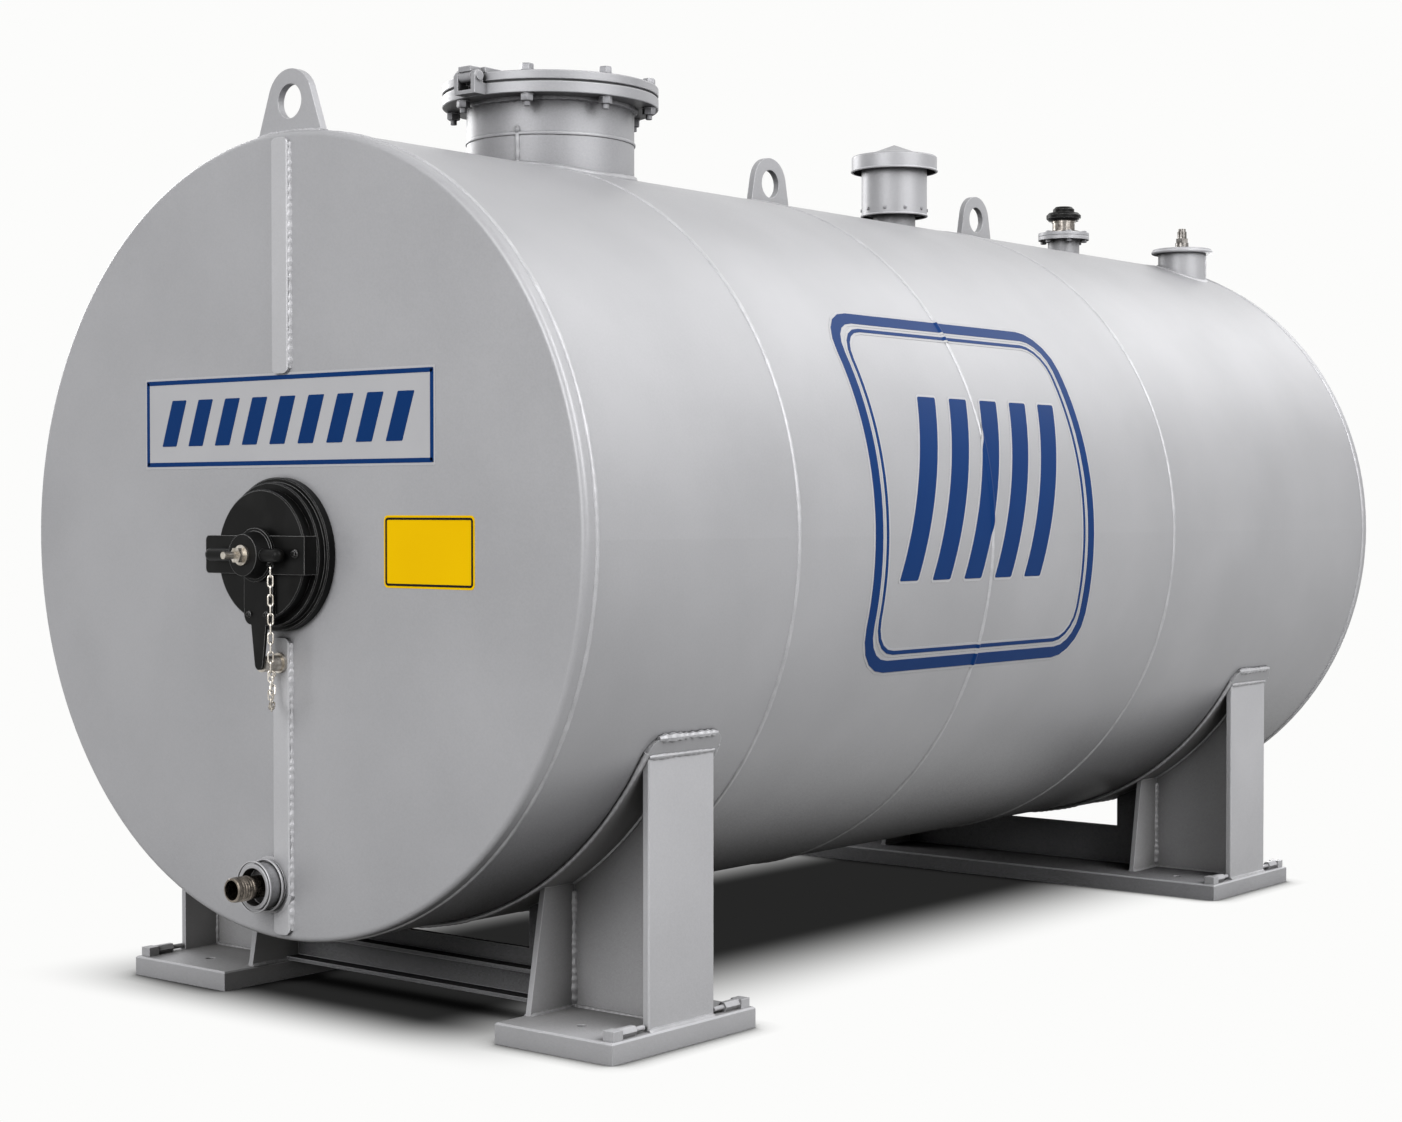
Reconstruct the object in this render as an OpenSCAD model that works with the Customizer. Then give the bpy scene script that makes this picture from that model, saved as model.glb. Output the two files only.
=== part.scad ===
// Horizontal welded steel fuel tank: four rolled courses, two flat ends and two saddles.
// X runs across the tank, Y from its front end to its back end, and Z up from the ground.
// Distances "from the front" are measured along Y from the outer face of the front end.

/* [Shell and ends] */
// Outside diameter of the shell
tank_d = 2000; // [1900:10:2200]
// Length over both end plates
tank_len = 4190; // [3900:10:5200]
// Height of the tank's lowest line above the ground
belly_h = 226; // [200:2:400]
// Thickness of the shell plate
shell_t = 6; // [4:1:12]
// Thickness of the end plates
end_t = 8; // [5:1:12]
// Length of the turned rim of an end, up to its weld
rim_len = 40; // [30:1:60]
// Outside radius of the bend between an end plate and its rim
rim_bend_r = 14; // [8:1:24]
// Distance from the front of the first round seam
seam_1 = 793; // [500:1:1100]
// Distance from the front of the second round seam
seam_2 = 1687; // [1300:1:2000]
// Distance from the front of the third round seam
seam_3 = 2738; // [2300:1:3100]

/* [End bars] */
// Width of the flat bars that run down the front end
bar_w = 60; // [40:1:90]
// Thickness of the flat bars
bar_t = 10; // [6:1:16]
// Length of the upper flat bar
bar_upper_len = 580; // [400:5:640]
// Corner radius of the flat bars
bar_corner_r = 18; // [8:1:20]
// Bevel along the edges of the flat bars
bar_bevel = 3; // [1:0.5:5]
// Space between a bar's end and the tank's edge, or the hatch
bar_end_gap = 16; // [15:1:30]

/* [Manway] */
// Distance of the manway's centre from the front
manway_y = 978; // [800:1:1400]
// Outside diameter of the manway neck
manway_d = 465; // [420:1:500]
// Wall thickness of the manway neck
manway_t = 10; // [6:1:16]
// Height of the manway neck above the top of the tank
manway_h = 178; // [120:1:240]
// Reach of the manway flange and cover outside the neck
flange_out = 67.5; // [60:0.5:110]
// Thickness of the manway flange
flange_t = 30; // [20:1:40]
// Thickness of the gasket between flange and cover
gasket_t = 5; // [3:0.5:8]
// Distance of the gasket's edge inside the flange's edge
gasket_inset = 5; // [3:1:10]
// Thickness of the manway cover
cover_t = 24; // [16:1:36]
// Bevel round the edges of flange and cover
flange_bevel = 2; // [1:0.5:4]
// Number of cover bolts
cover_bolts = 8; // [6:1:10]
// Distance of the cover bolts inside the flange's edge
bolt_edge = 22; // [17:1:30]
// Diameter of the bolt holes
bolt_hole_d = 22; // [16:1:26]
// Angle from +X to the first cover bolt, in degrees
bolt_turn = 29.5; // [27:0.5:32]

/* [Cover hinge] */
// Distance of the hinge axis outside the flange
hinge_out = 24; // [22:1:32]
// Diameter of the hinge pin
hinge_pin_d = 16; // [12:1:20]
// Outside diameter of the strap's knuckle
knuckle_d = 32; // [28:1:34]
// Width of the strap's knuckle
knuckle_w = 44; // [36:1:52]
// Thickness of each hinge cheek
cheek_t = 14; // [10:1:18]
// Outside diameter of the round top of a cheek
cheek_d = 32; // [28:1:34]
// Diameter of the pin's heads
pin_head_d = 26; // [18:1:30]
// Length of the pin's heads outside the cheeks
pin_end = 5; // [3:1:10]
// Thickness of the hinge strap
strap_t = 14; // [10:1:20]
// Width of the hinge strap on the cover
strap_w = 78; // [60:1:90]
// Length of the hinge strap from the hinge axis
strap_len = 190; // [140:1:240]

/* [Lifting lugs] */
// Distance of the front lug from the front
lug_front_y = 36; // [30:1:60]
// Distance of the middle lug from the front
lug_middle_y = 1972; // [1800:1:2200]
// Distance of the rear lug from the back
lug_rear_back = 1035; // [800:1:1240]
// Thickness of the lug plates
lug_t = 20; // [16:1:30]
// Radius of the round top of a lug
lug_r = 80; // [70:1:90]
// Height of the eye's centre above the tank
lug_eye_h = 78; // [74:1:110]
// Width of a lug round its eye
lug_wall = 37; // [30:1:50]
// Base width of the front lug
lug_front_w = 228; // [200:1:260]
// Base width of the middle and rear lugs
lug_side_w = 196; // [180:1:240]

/* [Vent] */
// Distance of the vent from the front
vent_y = 2665; // [2400:1:2850]
// Outside diameter of the vent neck
vent_neck_d = 140; // [114:1:168]
// Height of the vent neck above the tank
vent_neck_h = 53; // [40:1:100]
// Wall thickness of the vent, valve and gauge necks
neck_t = 6; // [4:1:10]
// Reach of the vent body outside its neck
vent_body_out = 38.5; // [25:0.5:50]
// Height of the vent body that shows below its cap
vent_body_h = 136; // [100:1:180]
// Length of the body's lip below its floor
vent_lip = 12; // [6:1:20]
// Reach of the vent cap outside its body
vent_cap_out = 33; // [20:0.5:50]
// Height of the vent cap's straight side
vent_cap_h = 52; // [36:1:80]
// Plate thickness of the vent body and cap
vent_t = 4; // [3:0.5:6]
// Rise of the cap's sloping shoulder
vent_shoulder_h = 11; // [4:1:20]
// Rise of the cone in the middle of the cap
vent_cone_h = 29; // [6:1:40]

/* [Relief valve] */
// Distance of the valve from the back
valve_back = 422; // [350:1:590]
// Outside diameter of the valve neck
valve_neck_d = 115; // [90:1:125]
// Height of the valve neck above the tank
valve_neck_h = 60; // [40:1:90]
// Reach of the valve flange outside its neck
valve_flange_out = 35; // [25:0.5:45]
// Thickness of one of the two valve flanges
valve_flange_t = 13; // [8:1:18]
// Diameter of the valve body
valve_body_d = 88; // [70:1:100]
// Height of the valve body
valve_body_h = 45; // [30:1:60]
// Reach of the valve's brim outside its body
valve_brim_out = 19; // [12:0.5:30]
// Height of the valve's brim
valve_brim_h = 30; // [20:1:40]
// Distance of the cap on top of the valve inside the brim's edge
valve_top_in = 24; // [18:0.5:30]
// Height of the cap on top of the valve
valve_top_h = 22; // [14:1:30]

/* [Level gauge] */
// Distance of the gauge from the back
gauge_back = 149; // [140:1:170]
// Distance of the gauge from the tank's middle plane
gauge_x = 340; // [0:1:400]
// Outside diameter of the gauge collar
gauge_collar_d = 172; // [150:1:178]
// Height of the gauge collar above the shell at its axis
gauge_collar_h = 68; // [60:1:100]
// Reach of the gauge lid outside its collar
gauge_lid_out = 20.5; // [10:0.5:30]
// Thickness of the gauge lid
gauge_lid_t = 18; // [10:1:26]
// Diameter of the gland on the gauge lid
gauge_gland_d = 48; // [40:1:60]
// Height of the gland on the gauge lid
gauge_gland_h = 24; // [14:1:34]
// Diameter of the gauge stem
gauge_stem_d = 34; // [20:1:38]
// Height of the gauge stem above its gland
gauge_stem_h = 52; // [30:1:70]

/* [Hatch] */
// Distance of the hatch's centre below the tank's axis
hatch_drop = 42; // [0:1:80]
// Diameter of the opening in the end plate
hatch_bore_d = 270; // [220:1:290]
// Width of the hatch ring
hatch_ring_w = 55; // [50:1:70]
// Thickness of the hatch ring
hatch_ring_t = 24; // [16:1:32]
// Distance of the ring's step inside the ring's edge
hatch_step_in = 12; // [8:1:16]
// Thickness of the step on the hatch ring
hatch_step_t = 20; // [12:1:28]
// Distance of the cap inside the edge of the ring's step
hatch_cap_in = 18; // [16:1:24]
// Thickness of the hatch cap
hatch_cap_t = 28; // [20:1:40]
// Bevel round the edges of ring and cap
hatch_bevel = 3; // [1:0.5:5]
// Height of the yoke bar across the cap
yoke_h = 94; // [70:1:104]
// Thickness of the yoke bar
yoke_t = 12; // [8:1:16]
// Reach of the yoke's free end from the hatch's centre
yoke_reach = 192; // [170:1:210]
// Space between the cap and the yoke's turned end
yoke_gap = 2; // [1:0.5:4]
// Corner radius of the yoke's free end
yoke_corner_r = 12; // [6:1:20]
// Diameter of the hub at the yoke
hub_base_d = 132; // [120:1:140]
// Diameter of the hub at its front
hub_front_d = 102; // [90:1:110]
// Length of the hub
hub_len = 46; // [40:1:60]
// Thickness of the ring round the hub's base
hub_ring_t = 8; // [4:1:14]
// Diameter of the cross handle
handle_d = 33; // [24:1:38]
// Reach of the cross handle's left arm
handle_left = 158; // [130:1:180]
// Reach of the cross handle's right arm
handle_right = 118; // [110:1:150]
// Distance of the clamp screw's tip from the end plate
screw_reach = 190; // [186:1:210]
// Diameter of the clamp screw
screw_d = 18; // [12:1:24]
// Width across the corners of the clamp nut
screw_nut_d = 40; // [32:1:46]
// Thickness of the clamp nut
screw_nut_t = 16; // [10:1:20]
// Diameter of the washer under the clamp nut
washer_d = 50; // [44:1:60]
// Thickness of the washer
washer_t = 6; // [3:1:8]
// Width of the drop arm below the yoke
arm_w = 106; // [90:1:116]
// Thickness of the drop arm
arm_t = 8; // [6:1:10]
// Distance of the drop arm's lower edge from the hatch's centre
arm_drop = 172; // [150:1:185]
// Corner radius of the drop arm's lower edge
arm_corner_r = 26; // [10:1:34]
// Distance of the anchor stud below the hatch's centre
anchor_drop = 268; // [250:1:300]
// Diameter of the anchor stud
anchor_d = 40; // [30:1:48]
// Diameter of the anchor stud's foot
anchor_foot_d = 50; // [44:1:58]
// Thickness of the anchor stud's foot
anchor_foot_t = 8; // [5:1:12]

/* [Chain] */
// Wire diameter of the chain and of its eyes
chain_wire_d = 4; // [3:0.5:4.5]
// Distance from one link to the next
chain_pitch = 22; // [20:1:26]
// Outside width of a link
chain_link_w = 16; // [15.5:0.5:18]
// Distance of the chain's eye on the handle from the hatch's centre
chain_x = 76; // [72:1:90]
// Depth of the chain's loop below the hatch's centre
chain_depth = 376; // [350:1:420]
// Mean radius of the two eyes that hold the chain
eye_r = 7; // [6:0.5:9]

/* [Drain] */
// Distance of the drain to the left of the tank's middle plane
drain_left = 45; // [35:1:70]
// Height of the drain above the tank's lowest line
drain_up = 136; // [120:1:180]
// Reach of the drain's pad ring outside its socket
drain_pad_out = 7; // [4:0.5:14]
// Thickness of the drain's pad ring
drain_pad_t = 14; // [12:1:20]
// Outside diameter of the drain socket
drain_socket_d = 114; // [100:1:118]
// Length of the drain socket from the end plate
drain_socket_len = 62; // [50:1:80]
// Wall round the recess in the socket's mouth
drain_wall = 10; // [6:0.5:16]
// Depth of the recess in the socket's mouth
drain_recess = 30; // [15:1:34]
// Outside diameter of the drain nipple
drain_nipple_d = 60.3; // [58.5:0.1:62]
// Height of the nipple's threaded end over its body
drain_thread_h = 2.15; // [1:0.05:3]
// Length of the nipple's threaded end
drain_thread_len = 52; // [40:1:60]
// Wall thickness of the nipple at its threaded end
drain_nipple_t = 5.65; // [4:0.05:9]
// Distance of the nipple's end from the end plate
drain_nipple_len = 130; // [110:1:150]

/* [Saddles] */
// Distance of the front saddle from the front
saddle_front_y = 499; // [320:1:560]
// Distance of the rear saddle from the back
saddle_rear_back = 664; // [500:1:800]
// Thickness of the wear pad
pad_t = 10; // [6:1:16]
// Width of the wear pad along the tank
pad_w = 272; // [260:1:320]
// Half angle of the wear pad, in degrees
pad_half_angle = 62; // [60:1:66]
// Corner radius of the wear pad
pad_corner_r = 36; // [20:1:50]
// Distance of the legs' outer faces from the tank's middle plane
leg_x = 866; // [850:1:880]
// Thickness of the leg plates
leg_t = 18; // [12:1:24]
// Bevel along the outer edges of the leg plates
leg_bevel = 3; // [1:0.5:6]
// Width of the leg plates along the tank
leg_w = 248; // [220:1:258]
// Distance of an inner rib's middle from the leg's outer face
rib_in = 350; // [320:1:380]
// Thickness of the inner ribs
rib_t = 16; // [10:1:20]
// Width of an inner rib at the foot
rib_foot_w = 340; // [300:1:380]
// Width of an inner rib under the pad
rib_top_w = 230; // [200:1:258]
// Thickness of the webs
web_t = 16; // [10:1:20]
// Width of the cross plate's raised ends
cross_raise_w = 138; // [90:1:200]
// Space between the cross plate's middle and the pad above it
cross_gap = 36; // [20:1:40]

/* [Feet] */
// Thickness of the foot plates
foot_t = 52; // [40:1:60]
// Depth of the foot plates along the tank
foot_depth = 545; // [530:1:620]
// Reach of a foot outside its leg
foot_out = 14; // [10:1:60]
// Reach of a foot inside the middle of its rib
foot_in = 14; // [10:1:60]
// Bevel round the upper edges of the feet
foot_bevel = 4; // [1:0.5:8]
// Diameter of the anchor bolt holes
anchor_hole_d = 26; // [18:1:34]
// Distance of the anchor holes from the leg's outer face
anchor_hole_in = 176; // [120:1:230]
// Distance of the anchor holes from the saddle's middle
anchor_hole_y = 166; // [120:1:200]
// Height of the front cross beam
beam_h = 84; // [70:1:96]
// Width of the front cross beam's flanges
beam_w = 96; // [80:1:120]
// Thickness of the front cross beam's flanges and web
beam_t = 10; // [6:1:14]

/* [Foot clips] */
// Length of a clip along the foot's edge
clip_len = 126; // [100:1:132]
// Width of a clip's end block
clip_w = 34; // [24:1:40]
// Width across the flats of a clip's barrel
clip_barrel_w = 24; // [16:1:30]
// Diameter of a clip's rod
clip_rod_d = 13; // [8:1:16]
// Space between a clip and the leg plate
clip_gap = 8; // [4:1:12]

/* [Hidden] */
$fn = 96;
// Facets of the tank's own round surfaces
tank_fn = 360;

paint = "#b4b4b7";
black = "#161616";
bright = "#c9c9cc";

// Length by which a cutting shape runs past what it cuts
overrun = 2;
// Space left between a moving piece and its seat
seat_gap = 0.3;
// Space left between the hinge pin and its knuckle
pin_gap = 0.1;
// Space left on each side of the knuckle
knuckle_gap = 2;
// Space left between two neighbouring chain links
link_gap = 0.8;
// Number of straight steps in a rounded corner of a turned outline
bend_steps = 6;
// Number of flat sides round a chain link's wire
wire_sides = 8;

tank_r = tank_d / 2;
axis_h = belly_h + tank_r;
face_y = (screw_reach - tank_len) / 2;
tank_top_z = axis_h + tank_r;
pad_r = tank_r + pad_t;
hatch_z = axis_h - hatch_drop;
drain_z = axis_h - tank_r + drain_up;

manway_bore_d = manway_d - 2 * manway_t;
flange_d = manway_d + 2 * flange_out;
bolt_circle_d = flange_d - 2 * bolt_edge;
flange_z = tank_top_z + manway_h;
gasket_z = flange_z + flange_t;
cover_z = gasket_z + gasket_t + seat_gap;
hinge_z = cover_z + cover_t / 2;
hinge_y = at(manway_y) - flange_d / 2 - hinge_out;
cheek_x = knuckle_w / 2 + knuckle_gap;

lug_eye_d = 2 * (lug_r - lug_wall);
lug_rear_y = tank_len - lug_rear_back;

vent_body_d = vent_neck_d + 2 * vent_body_out;
vent_cap_d = vent_body_d + 2 * vent_cap_out;
vent_ceiling = vent_neck_h + vent_body_h + vent_cap_h - vent_t;
valve_y = tank_len - valve_back;
valve_flange_d = valve_neck_d + 2 * valve_flange_out;
valve_brim_d = valve_body_d + 2 * valve_brim_out;
valve_top_d = valve_brim_d - 2 * valve_top_in;
gauge_y = tank_len - gauge_back;
gauge_lid_d = gauge_collar_d + 2 * gauge_lid_out;
gauge_shell_h = sqrt(pow(tank_r, 2) - pow(gauge_x, 2));
gauge_top_z = axis_h + gauge_shell_h + gauge_collar_h;

hatch_ring_d = hatch_bore_d + 2 * hatch_ring_w;
hatch_step_d = hatch_ring_d - 2 * hatch_step_in;
hatch_cap_d = hatch_step_d - 2 * hatch_cap_in;
hatch_step_out = hatch_ring_t + hatch_step_t;
hatch_cap_out = hatch_step_out + hatch_cap_t;
yoke_out = hatch_cap_out + yoke_t;
hub_out = yoke_out + hub_len;
handle_out = yoke_out + hub_len / 2;

drain_pad_d = drain_socket_d + 2 * drain_pad_out;
drain_recess_d = drain_socket_d - 2 * drain_wall;
drain_body_d = drain_nipple_d - 2 * drain_thread_h;
drain_bore_d = drain_nipple_d - 2 * drain_nipple_t;

pad_top_z = axis_h - pad_r * cos(pad_half_angle);
leg_inner_x = leg_x - leg_t;
rib_x = leg_x - rib_in;
rib_inner_x = rib_x - rib_t / 2;
rib_outer_x = rib_x + rib_t / 2;
rib_top_z = axis_h - sqrt(pow(pad_r, 2) - pow(rib_outer_x, 2));
cross_raise_x = rib_inner_x - cross_raise_w;
cross_top_h = belly_h - pad_t - cross_gap;
foot_outer_x = leg_x + foot_out;
foot_inner_x = rib_x - foot_in;
anchor_hole_x = leg_x - anchor_hole_in;
saddle_rear_y = tank_len - saddle_rear_back;
saddles = [saddle_front_y, saddle_rear_y];
sides = [-1, 1];

// Y of a place given by its distance from the front
function at(y) = face_y + y;

// Points of a round outline corner about a centre, from one angle to another
function arc(centre, r, from, to) =
    [for (i = [0 : bend_steps]) let (a = from + (to - from) * i / bend_steps)
        centre + r * [cos(a), sin(a)]];

// Stands a shape's Z axis along +Y on the tank's axis, at a distance from the front
module along_tank(y) {
    translate([0, at(y), axis_h]) rotate([-90, 0, 0]) children();
}

// Stands a shape's Z axis straight out of the front end's face
module out_of_front(x, z) {
    translate([x, face_y, z]) rotate([90, 0, 0]) children();
}

// Extrudes an outline drawn in Y and Z along X, from x over a thickness
module across(x, t) {
    translate([x, 0, 0]) rotate([90, 0, 90]) linear_extrude(t) children();
}

module rounded_plate(w, h, r) {
    square([w - 2 * r, h], center = true);
    square([w, h - 2 * r], center = true);
    for (sx = sides, sy = sides) translate([sx * (w / 2 - r), sy * (h / 2 - r)]) circle(r);
}

// Cross-section of a flat bar or plate that lies on its wide side, with bevelled upper edges
module bevelled_outline(w, h, bevel) {
    polygon([[-w / 2, 0], [w / 2, 0], [w / 2, h - bevel], [w / 2 - bevel, h],
        [-w / 2 + bevel, h], [-w / 2, h - bevel]]);
}

module tube(r_out, r_in, h) {
    difference() {
        cylinder(r = r_out, h = h);
        translate([0, 0, -overrun]) cylinder(r = r_in, h = h + 2 * overrun);
    }
}

// Length of the tank between two distances from the front, as a ring between two radii
module tank_ring(from, to, r_out, r_in) {
    along_tank(from) tube(r_out, r_in, to - from, $fn = tank_fn);
}

// Disc with a bevel round both edges, standing on its lower face
module bevelled_disc(d, h, bevel) {
    rotate_extrude() polygon([[0, 0], [d / 2 - bevel, 0], [d / 2, bevel], [d / 2, h - bevel],
        [d / 2 - bevel, h], [0, h]]);
}

// Solid cylinder on the tank's axis, as long as the tank
module tank_core(r) {
    along_tank(-overrun) cylinder(r = r, h = tank_len + 2 * overrun, $fn = tank_fn);
}

module top_bore(x, y, d) {
    translate([x, at(y), axis_h]) cylinder(d = d, h = tank_r + overrun);
}

module nozzle_bores() {
    top_bore(0, manway_y, manway_bore_d);
    top_bore(0, vent_y, vent_neck_d - 2 * neck_t);
    top_bore(0, valve_y, valve_neck_d - 2 * neck_t);
    top_bore(gauge_x, gauge_y, gauge_collar_d - 2 * neck_t);
}

module shell_course(from, to) {
    color(paint) difference() {
        tank_ring(from, to, tank_r, tank_r - shell_t);
        nozzle_bores();
    }
}

module shell_course_1() { shell_course(rim_len, seam_1); }
module shell_course_2() { shell_course(seam_1, seam_2); }
module shell_course_3() { shell_course(seam_2, seam_3); }
module shell_course_4() { shell_course(seam_3, tank_len - rim_len); }

// Flat end with a turned rim, its outer face at the bottom
module flanged_end() {
    rotate_extrude($fn = tank_fn) polygon(concat([[0, 0]],
        arc([tank_r - rim_bend_r, rim_bend_r], rim_bend_r, -90, 0),
        [[tank_r, rim_len], [tank_r - shell_t, rim_len], [tank_r - shell_t, end_t], [0, end_t]]));
}

module end_bore(x, z, d) {
    out_of_front(x, z) translate([0, 0, -end_t - overrun]) cylinder(d = d, h = end_t + 2 * overrun);
}

module front_end() {
    color(paint) difference() {
        along_tank(0) flanged_end();
        end_bore(0, hatch_z, hatch_bore_d);
        end_bore(-drain_left, drain_z, drain_bore_d);
    }
}

module rear_end() {
    color(paint) translate([0, at(tank_len), axis_h]) rotate([90, 0, 0]) flanged_end();
}

// Flat bar on the front end between two heights
module end_bar(low, high) {
    h = high - low;
    out_of_front(0, (low + high) / 2) intersection() {
        linear_extrude(bar_t) rounded_plate(bar_w, h, bar_corner_r);
        translate([0, h / 2, 0]) rotate([90, 0, 0]) linear_extrude(h)
            bevelled_outline(bar_w, bar_t, bar_bevel);
    }
}

module end_bars() {
    color(paint) {
        end_bar(tank_top_z - bar_end_gap - bar_upper_len, tank_top_z - bar_end_gap);
        difference() {
            end_bar(axis_h - tank_r + bar_end_gap, hatch_z - hatch_ring_d / 2 - bar_end_gap);
            out_of_front(-drain_left, drain_z) translate([0, 0, -overrun])
                cylinder(d = drain_pad_d, h = bar_t + 2 * overrun);
        }
    }
}

// Pipe that stands on the shell, cut to the shell's curve; top is its height above the tank's axis
module set_on_neck(x, y, d, t, top) {
    difference() {
        translate([x, at(y), axis_h]) tube(d / 2, d / 2 - t, top);
        tank_core(tank_r);
    }
}

module cover_bolt_holes(h) {
    for (i = [0 : cover_bolts - 1]) rotate(bolt_turn + i * 360 / cover_bolts)
        translate([bolt_circle_d / 2, 0, -overrun]) cylinder(d = bolt_hole_d, h = h + 2 * overrun);
}

module on_manway(z) {
    translate([0, at(manway_y), z]) children();
}

module manway_neck() {
    color(paint) set_on_neck(0, manway_y, manway_d, manway_t, tank_r + manway_h);
}

module manway_flange() {
    color(paint) on_manway(flange_z) difference() {
        bevelled_disc(flange_d, flange_t, flange_bevel);
        translate([0, 0, -overrun]) cylinder(d = manway_bore_d, h = flange_t + 2 * overrun);
        cover_bolt_holes(flange_t);
    }
}

module manway_gasket() {
    color(black) on_manway(gasket_z) difference() {
        tube(flange_d / 2 - gasket_inset, manway_bore_d / 2, gasket_t);
        cover_bolt_holes(gasket_t);
    }
}

module manway_cover() {
    color(paint) on_manway(cover_z) difference() {
        bevelled_disc(flange_d, cover_t, flange_bevel);
        cover_bolt_holes(cover_t);
    }
}

// Cheek outline in Y and Z about the hinge axis: a round top on a foot that meets the flange's edge
module cheek_outline() {
    foot_h = hinge_z - flange_z;
    circle(d = cheek_d);
    translate([-cheek_d / 2, -foot_h]) square([cheek_d, foot_h]);
    translate([-cheek_d / 2, -foot_h]) square([cheek_d / 2 + hinge_out + cheek_d, flange_t]);
}

// Shelf outline in Y and Z about the hinge axis, below the path of the strap's end
module shelf_outline() {
    shelf_share = 0.6;
    foot_h = hinge_z - flange_z;
    swing_r = norm([knuckle_d / 2, cover_t / 2 + strap_t]);
    translate([-cheek_d / 2, -foot_h])
        square([cheek_d / 2 + hinge_out + cheek_d, (foot_h - swing_r) * shelf_share]);
}

// Two cheeks on a shelf, welded to the flange's edge, with a headed pin through both
module manway_hinge_bracket() {
    cheek_out = cheek_x + cheek_t;
    color(paint) difference() {
        translate([0, hinge_y, hinge_z]) {
            across(-cheek_out, cheek_t) cheek_outline();
            across(cheek_x, cheek_t) cheek_outline();
            across(-cheek_x, 2 * cheek_x) shelf_outline();
            translate([-cheek_out, 0, 0]) rotate([0, 90, 0]) cylinder(d = hinge_pin_d, h = 2 * cheek_out);
            for (x = [-cheek_out - pin_end, cheek_out]) translate([x, 0, 0]) rotate([0, 90, 0])
                cylinder(d = pin_head_d, h = pin_end);
        }
        on_manway(flange_z - overrun) cylinder(d = flange_d, h = flange_t + 2 * overrun);
    }
}

// Knuckle on the pin and a flat strap that widens behind the cheeks and tapers to its tip
module manway_hinge_strap() {
    tip_w_share = 0.7;
    tip_w = strap_w * tip_w_share;
    color(paint) translate([0, hinge_y, hinge_z]) difference() {
        union() {
            translate([-knuckle_w / 2, 0, 0]) rotate([0, 90, 0]) cylinder(d = knuckle_d, h = knuckle_w);
            translate([0, 0, cover_t / 2]) linear_extrude(strap_t) polygon([
                [-knuckle_w / 2, -knuckle_d / 2], [knuckle_w / 2, -knuckle_d / 2],
                [knuckle_w / 2, hinge_out], [strap_w / 2, hinge_out], [tip_w / 2, strap_len],
                [-tip_w / 2, strap_len], [-strap_w / 2, hinge_out], [-knuckle_w / 2, hinge_out]]);
        }
        translate([-knuckle_w / 2 - overrun, 0, 0]) rotate([0, 90, 0])
            cylinder(d = hinge_pin_d + 2 * pin_gap, h = knuckle_w + 2 * overrun);
    }
}

// Lug outline: a round top with straight flanks that run tangent from it to the base
module lug_outline(base_w) {
    corner = base_w / 2;
    reach = norm([corner, lug_eye_h]);
    touch = acos(lug_r / reach) - atan2(lug_eye_h, corner);
    tangent = lug_r * [cos(touch), sin(touch)] + [0, lug_eye_h];
    root = tank_r - sqrt(pow(tank_r, 2) - pow(corner, 2)) + overrun;
    translate([0, lug_eye_h]) circle(lug_r);
    polygon([[-corner, -root], [corner, -root], [corner, 0], tangent, [0, lug_eye_h],
        [-tangent[0], tangent[1]], [-corner, 0]]);
}

module lifting_lug(y, base_w, turn) {
    color(paint) difference() {
        translate([0, at(y), tank_top_z]) rotate(turn) rotate([90, 0, 0]) translate([0, 0, -lug_t / 2])
            difference() {
                linear_extrude(lug_t) lug_outline(base_w);
                translate([0, lug_eye_h, -overrun]) cylinder(d = lug_eye_d, h = lug_t + 2 * overrun);
            }
        tank_core(tank_r);
    }
}

module lifting_lug_front() { lifting_lug(lug_front_y, lug_front_w, 0); }
module lifting_lug_middle() { lifting_lug(lug_middle_y, lug_side_w, 90); }
module lifting_lug_rear() { lifting_lug(lug_rear_y, lug_side_w, 90); }

module on_vent(h) {
    translate([0, at(vent_y), tank_top_z + h]) children();
}

module vent_neck() {
    color(paint) set_on_neck(0, vent_y, vent_neck_d, neck_t, tank_r + vent_neck_h);
}

// Can that stands on the neck, open at the top under the cap
module vent_body() {
    r = vent_body_d / 2;
    bore_r = vent_neck_d / 2 - neck_t;
    h = vent_ceiling - vent_neck_h;
    color(paint) on_vent(vent_neck_h) rotate_extrude() polygon([[bore_r, 0], [r - vent_t, 0],
        [r - vent_t, -vent_lip], [r, -vent_lip], [r, h], [r - vent_t, h],
        [r - vent_t, vent_t], [bore_r, vent_t]]);
}

// Hood with a straight side, a sloping shoulder and a low cone in the middle
module vent_cap() {
    r = vent_cap_d / 2;
    cone_r_share = 0.55;
    top = vent_cap_h;
    shoulder = top + vent_shoulder_h;
    color(paint) on_vent(vent_neck_h + vent_body_h) rotate_extrude() polygon([[0, top - vent_t],
        [r - vent_t, top - vent_t], [r - vent_t, 0], [r, 0], [r, top - vent_t], [r - vent_t, top],
        [r * cone_r_share, shoulder], [0, shoulder + vent_cone_h]]);
}

module on_valve(h) {
    translate([0, at(valve_y), tank_top_z + h]) children();
}

module valve_neck() {
    color(paint) set_on_neck(0, valve_y, valve_neck_d, neck_t, tank_r + valve_neck_h);
}

// Pair of flanges that meet at a groove
module valve_flange() {
    r = valve_flange_d / 2;
    bore_r = valve_neck_d / 2 - neck_t;
    groove_share = 0.12;
    groove = valve_flange_t * groove_share;
    h = 2 * valve_flange_t;
    color(paint) on_valve(valve_neck_h) rotate_extrude() polygon([[bore_r, 0], [r, 0],
        [r, valve_flange_t - groove], [r - groove, valve_flange_t - groove],
        [r - groove, valve_flange_t + groove],
        [r, valve_flange_t + groove], [r, h], [bore_r, h]]);
}

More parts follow.
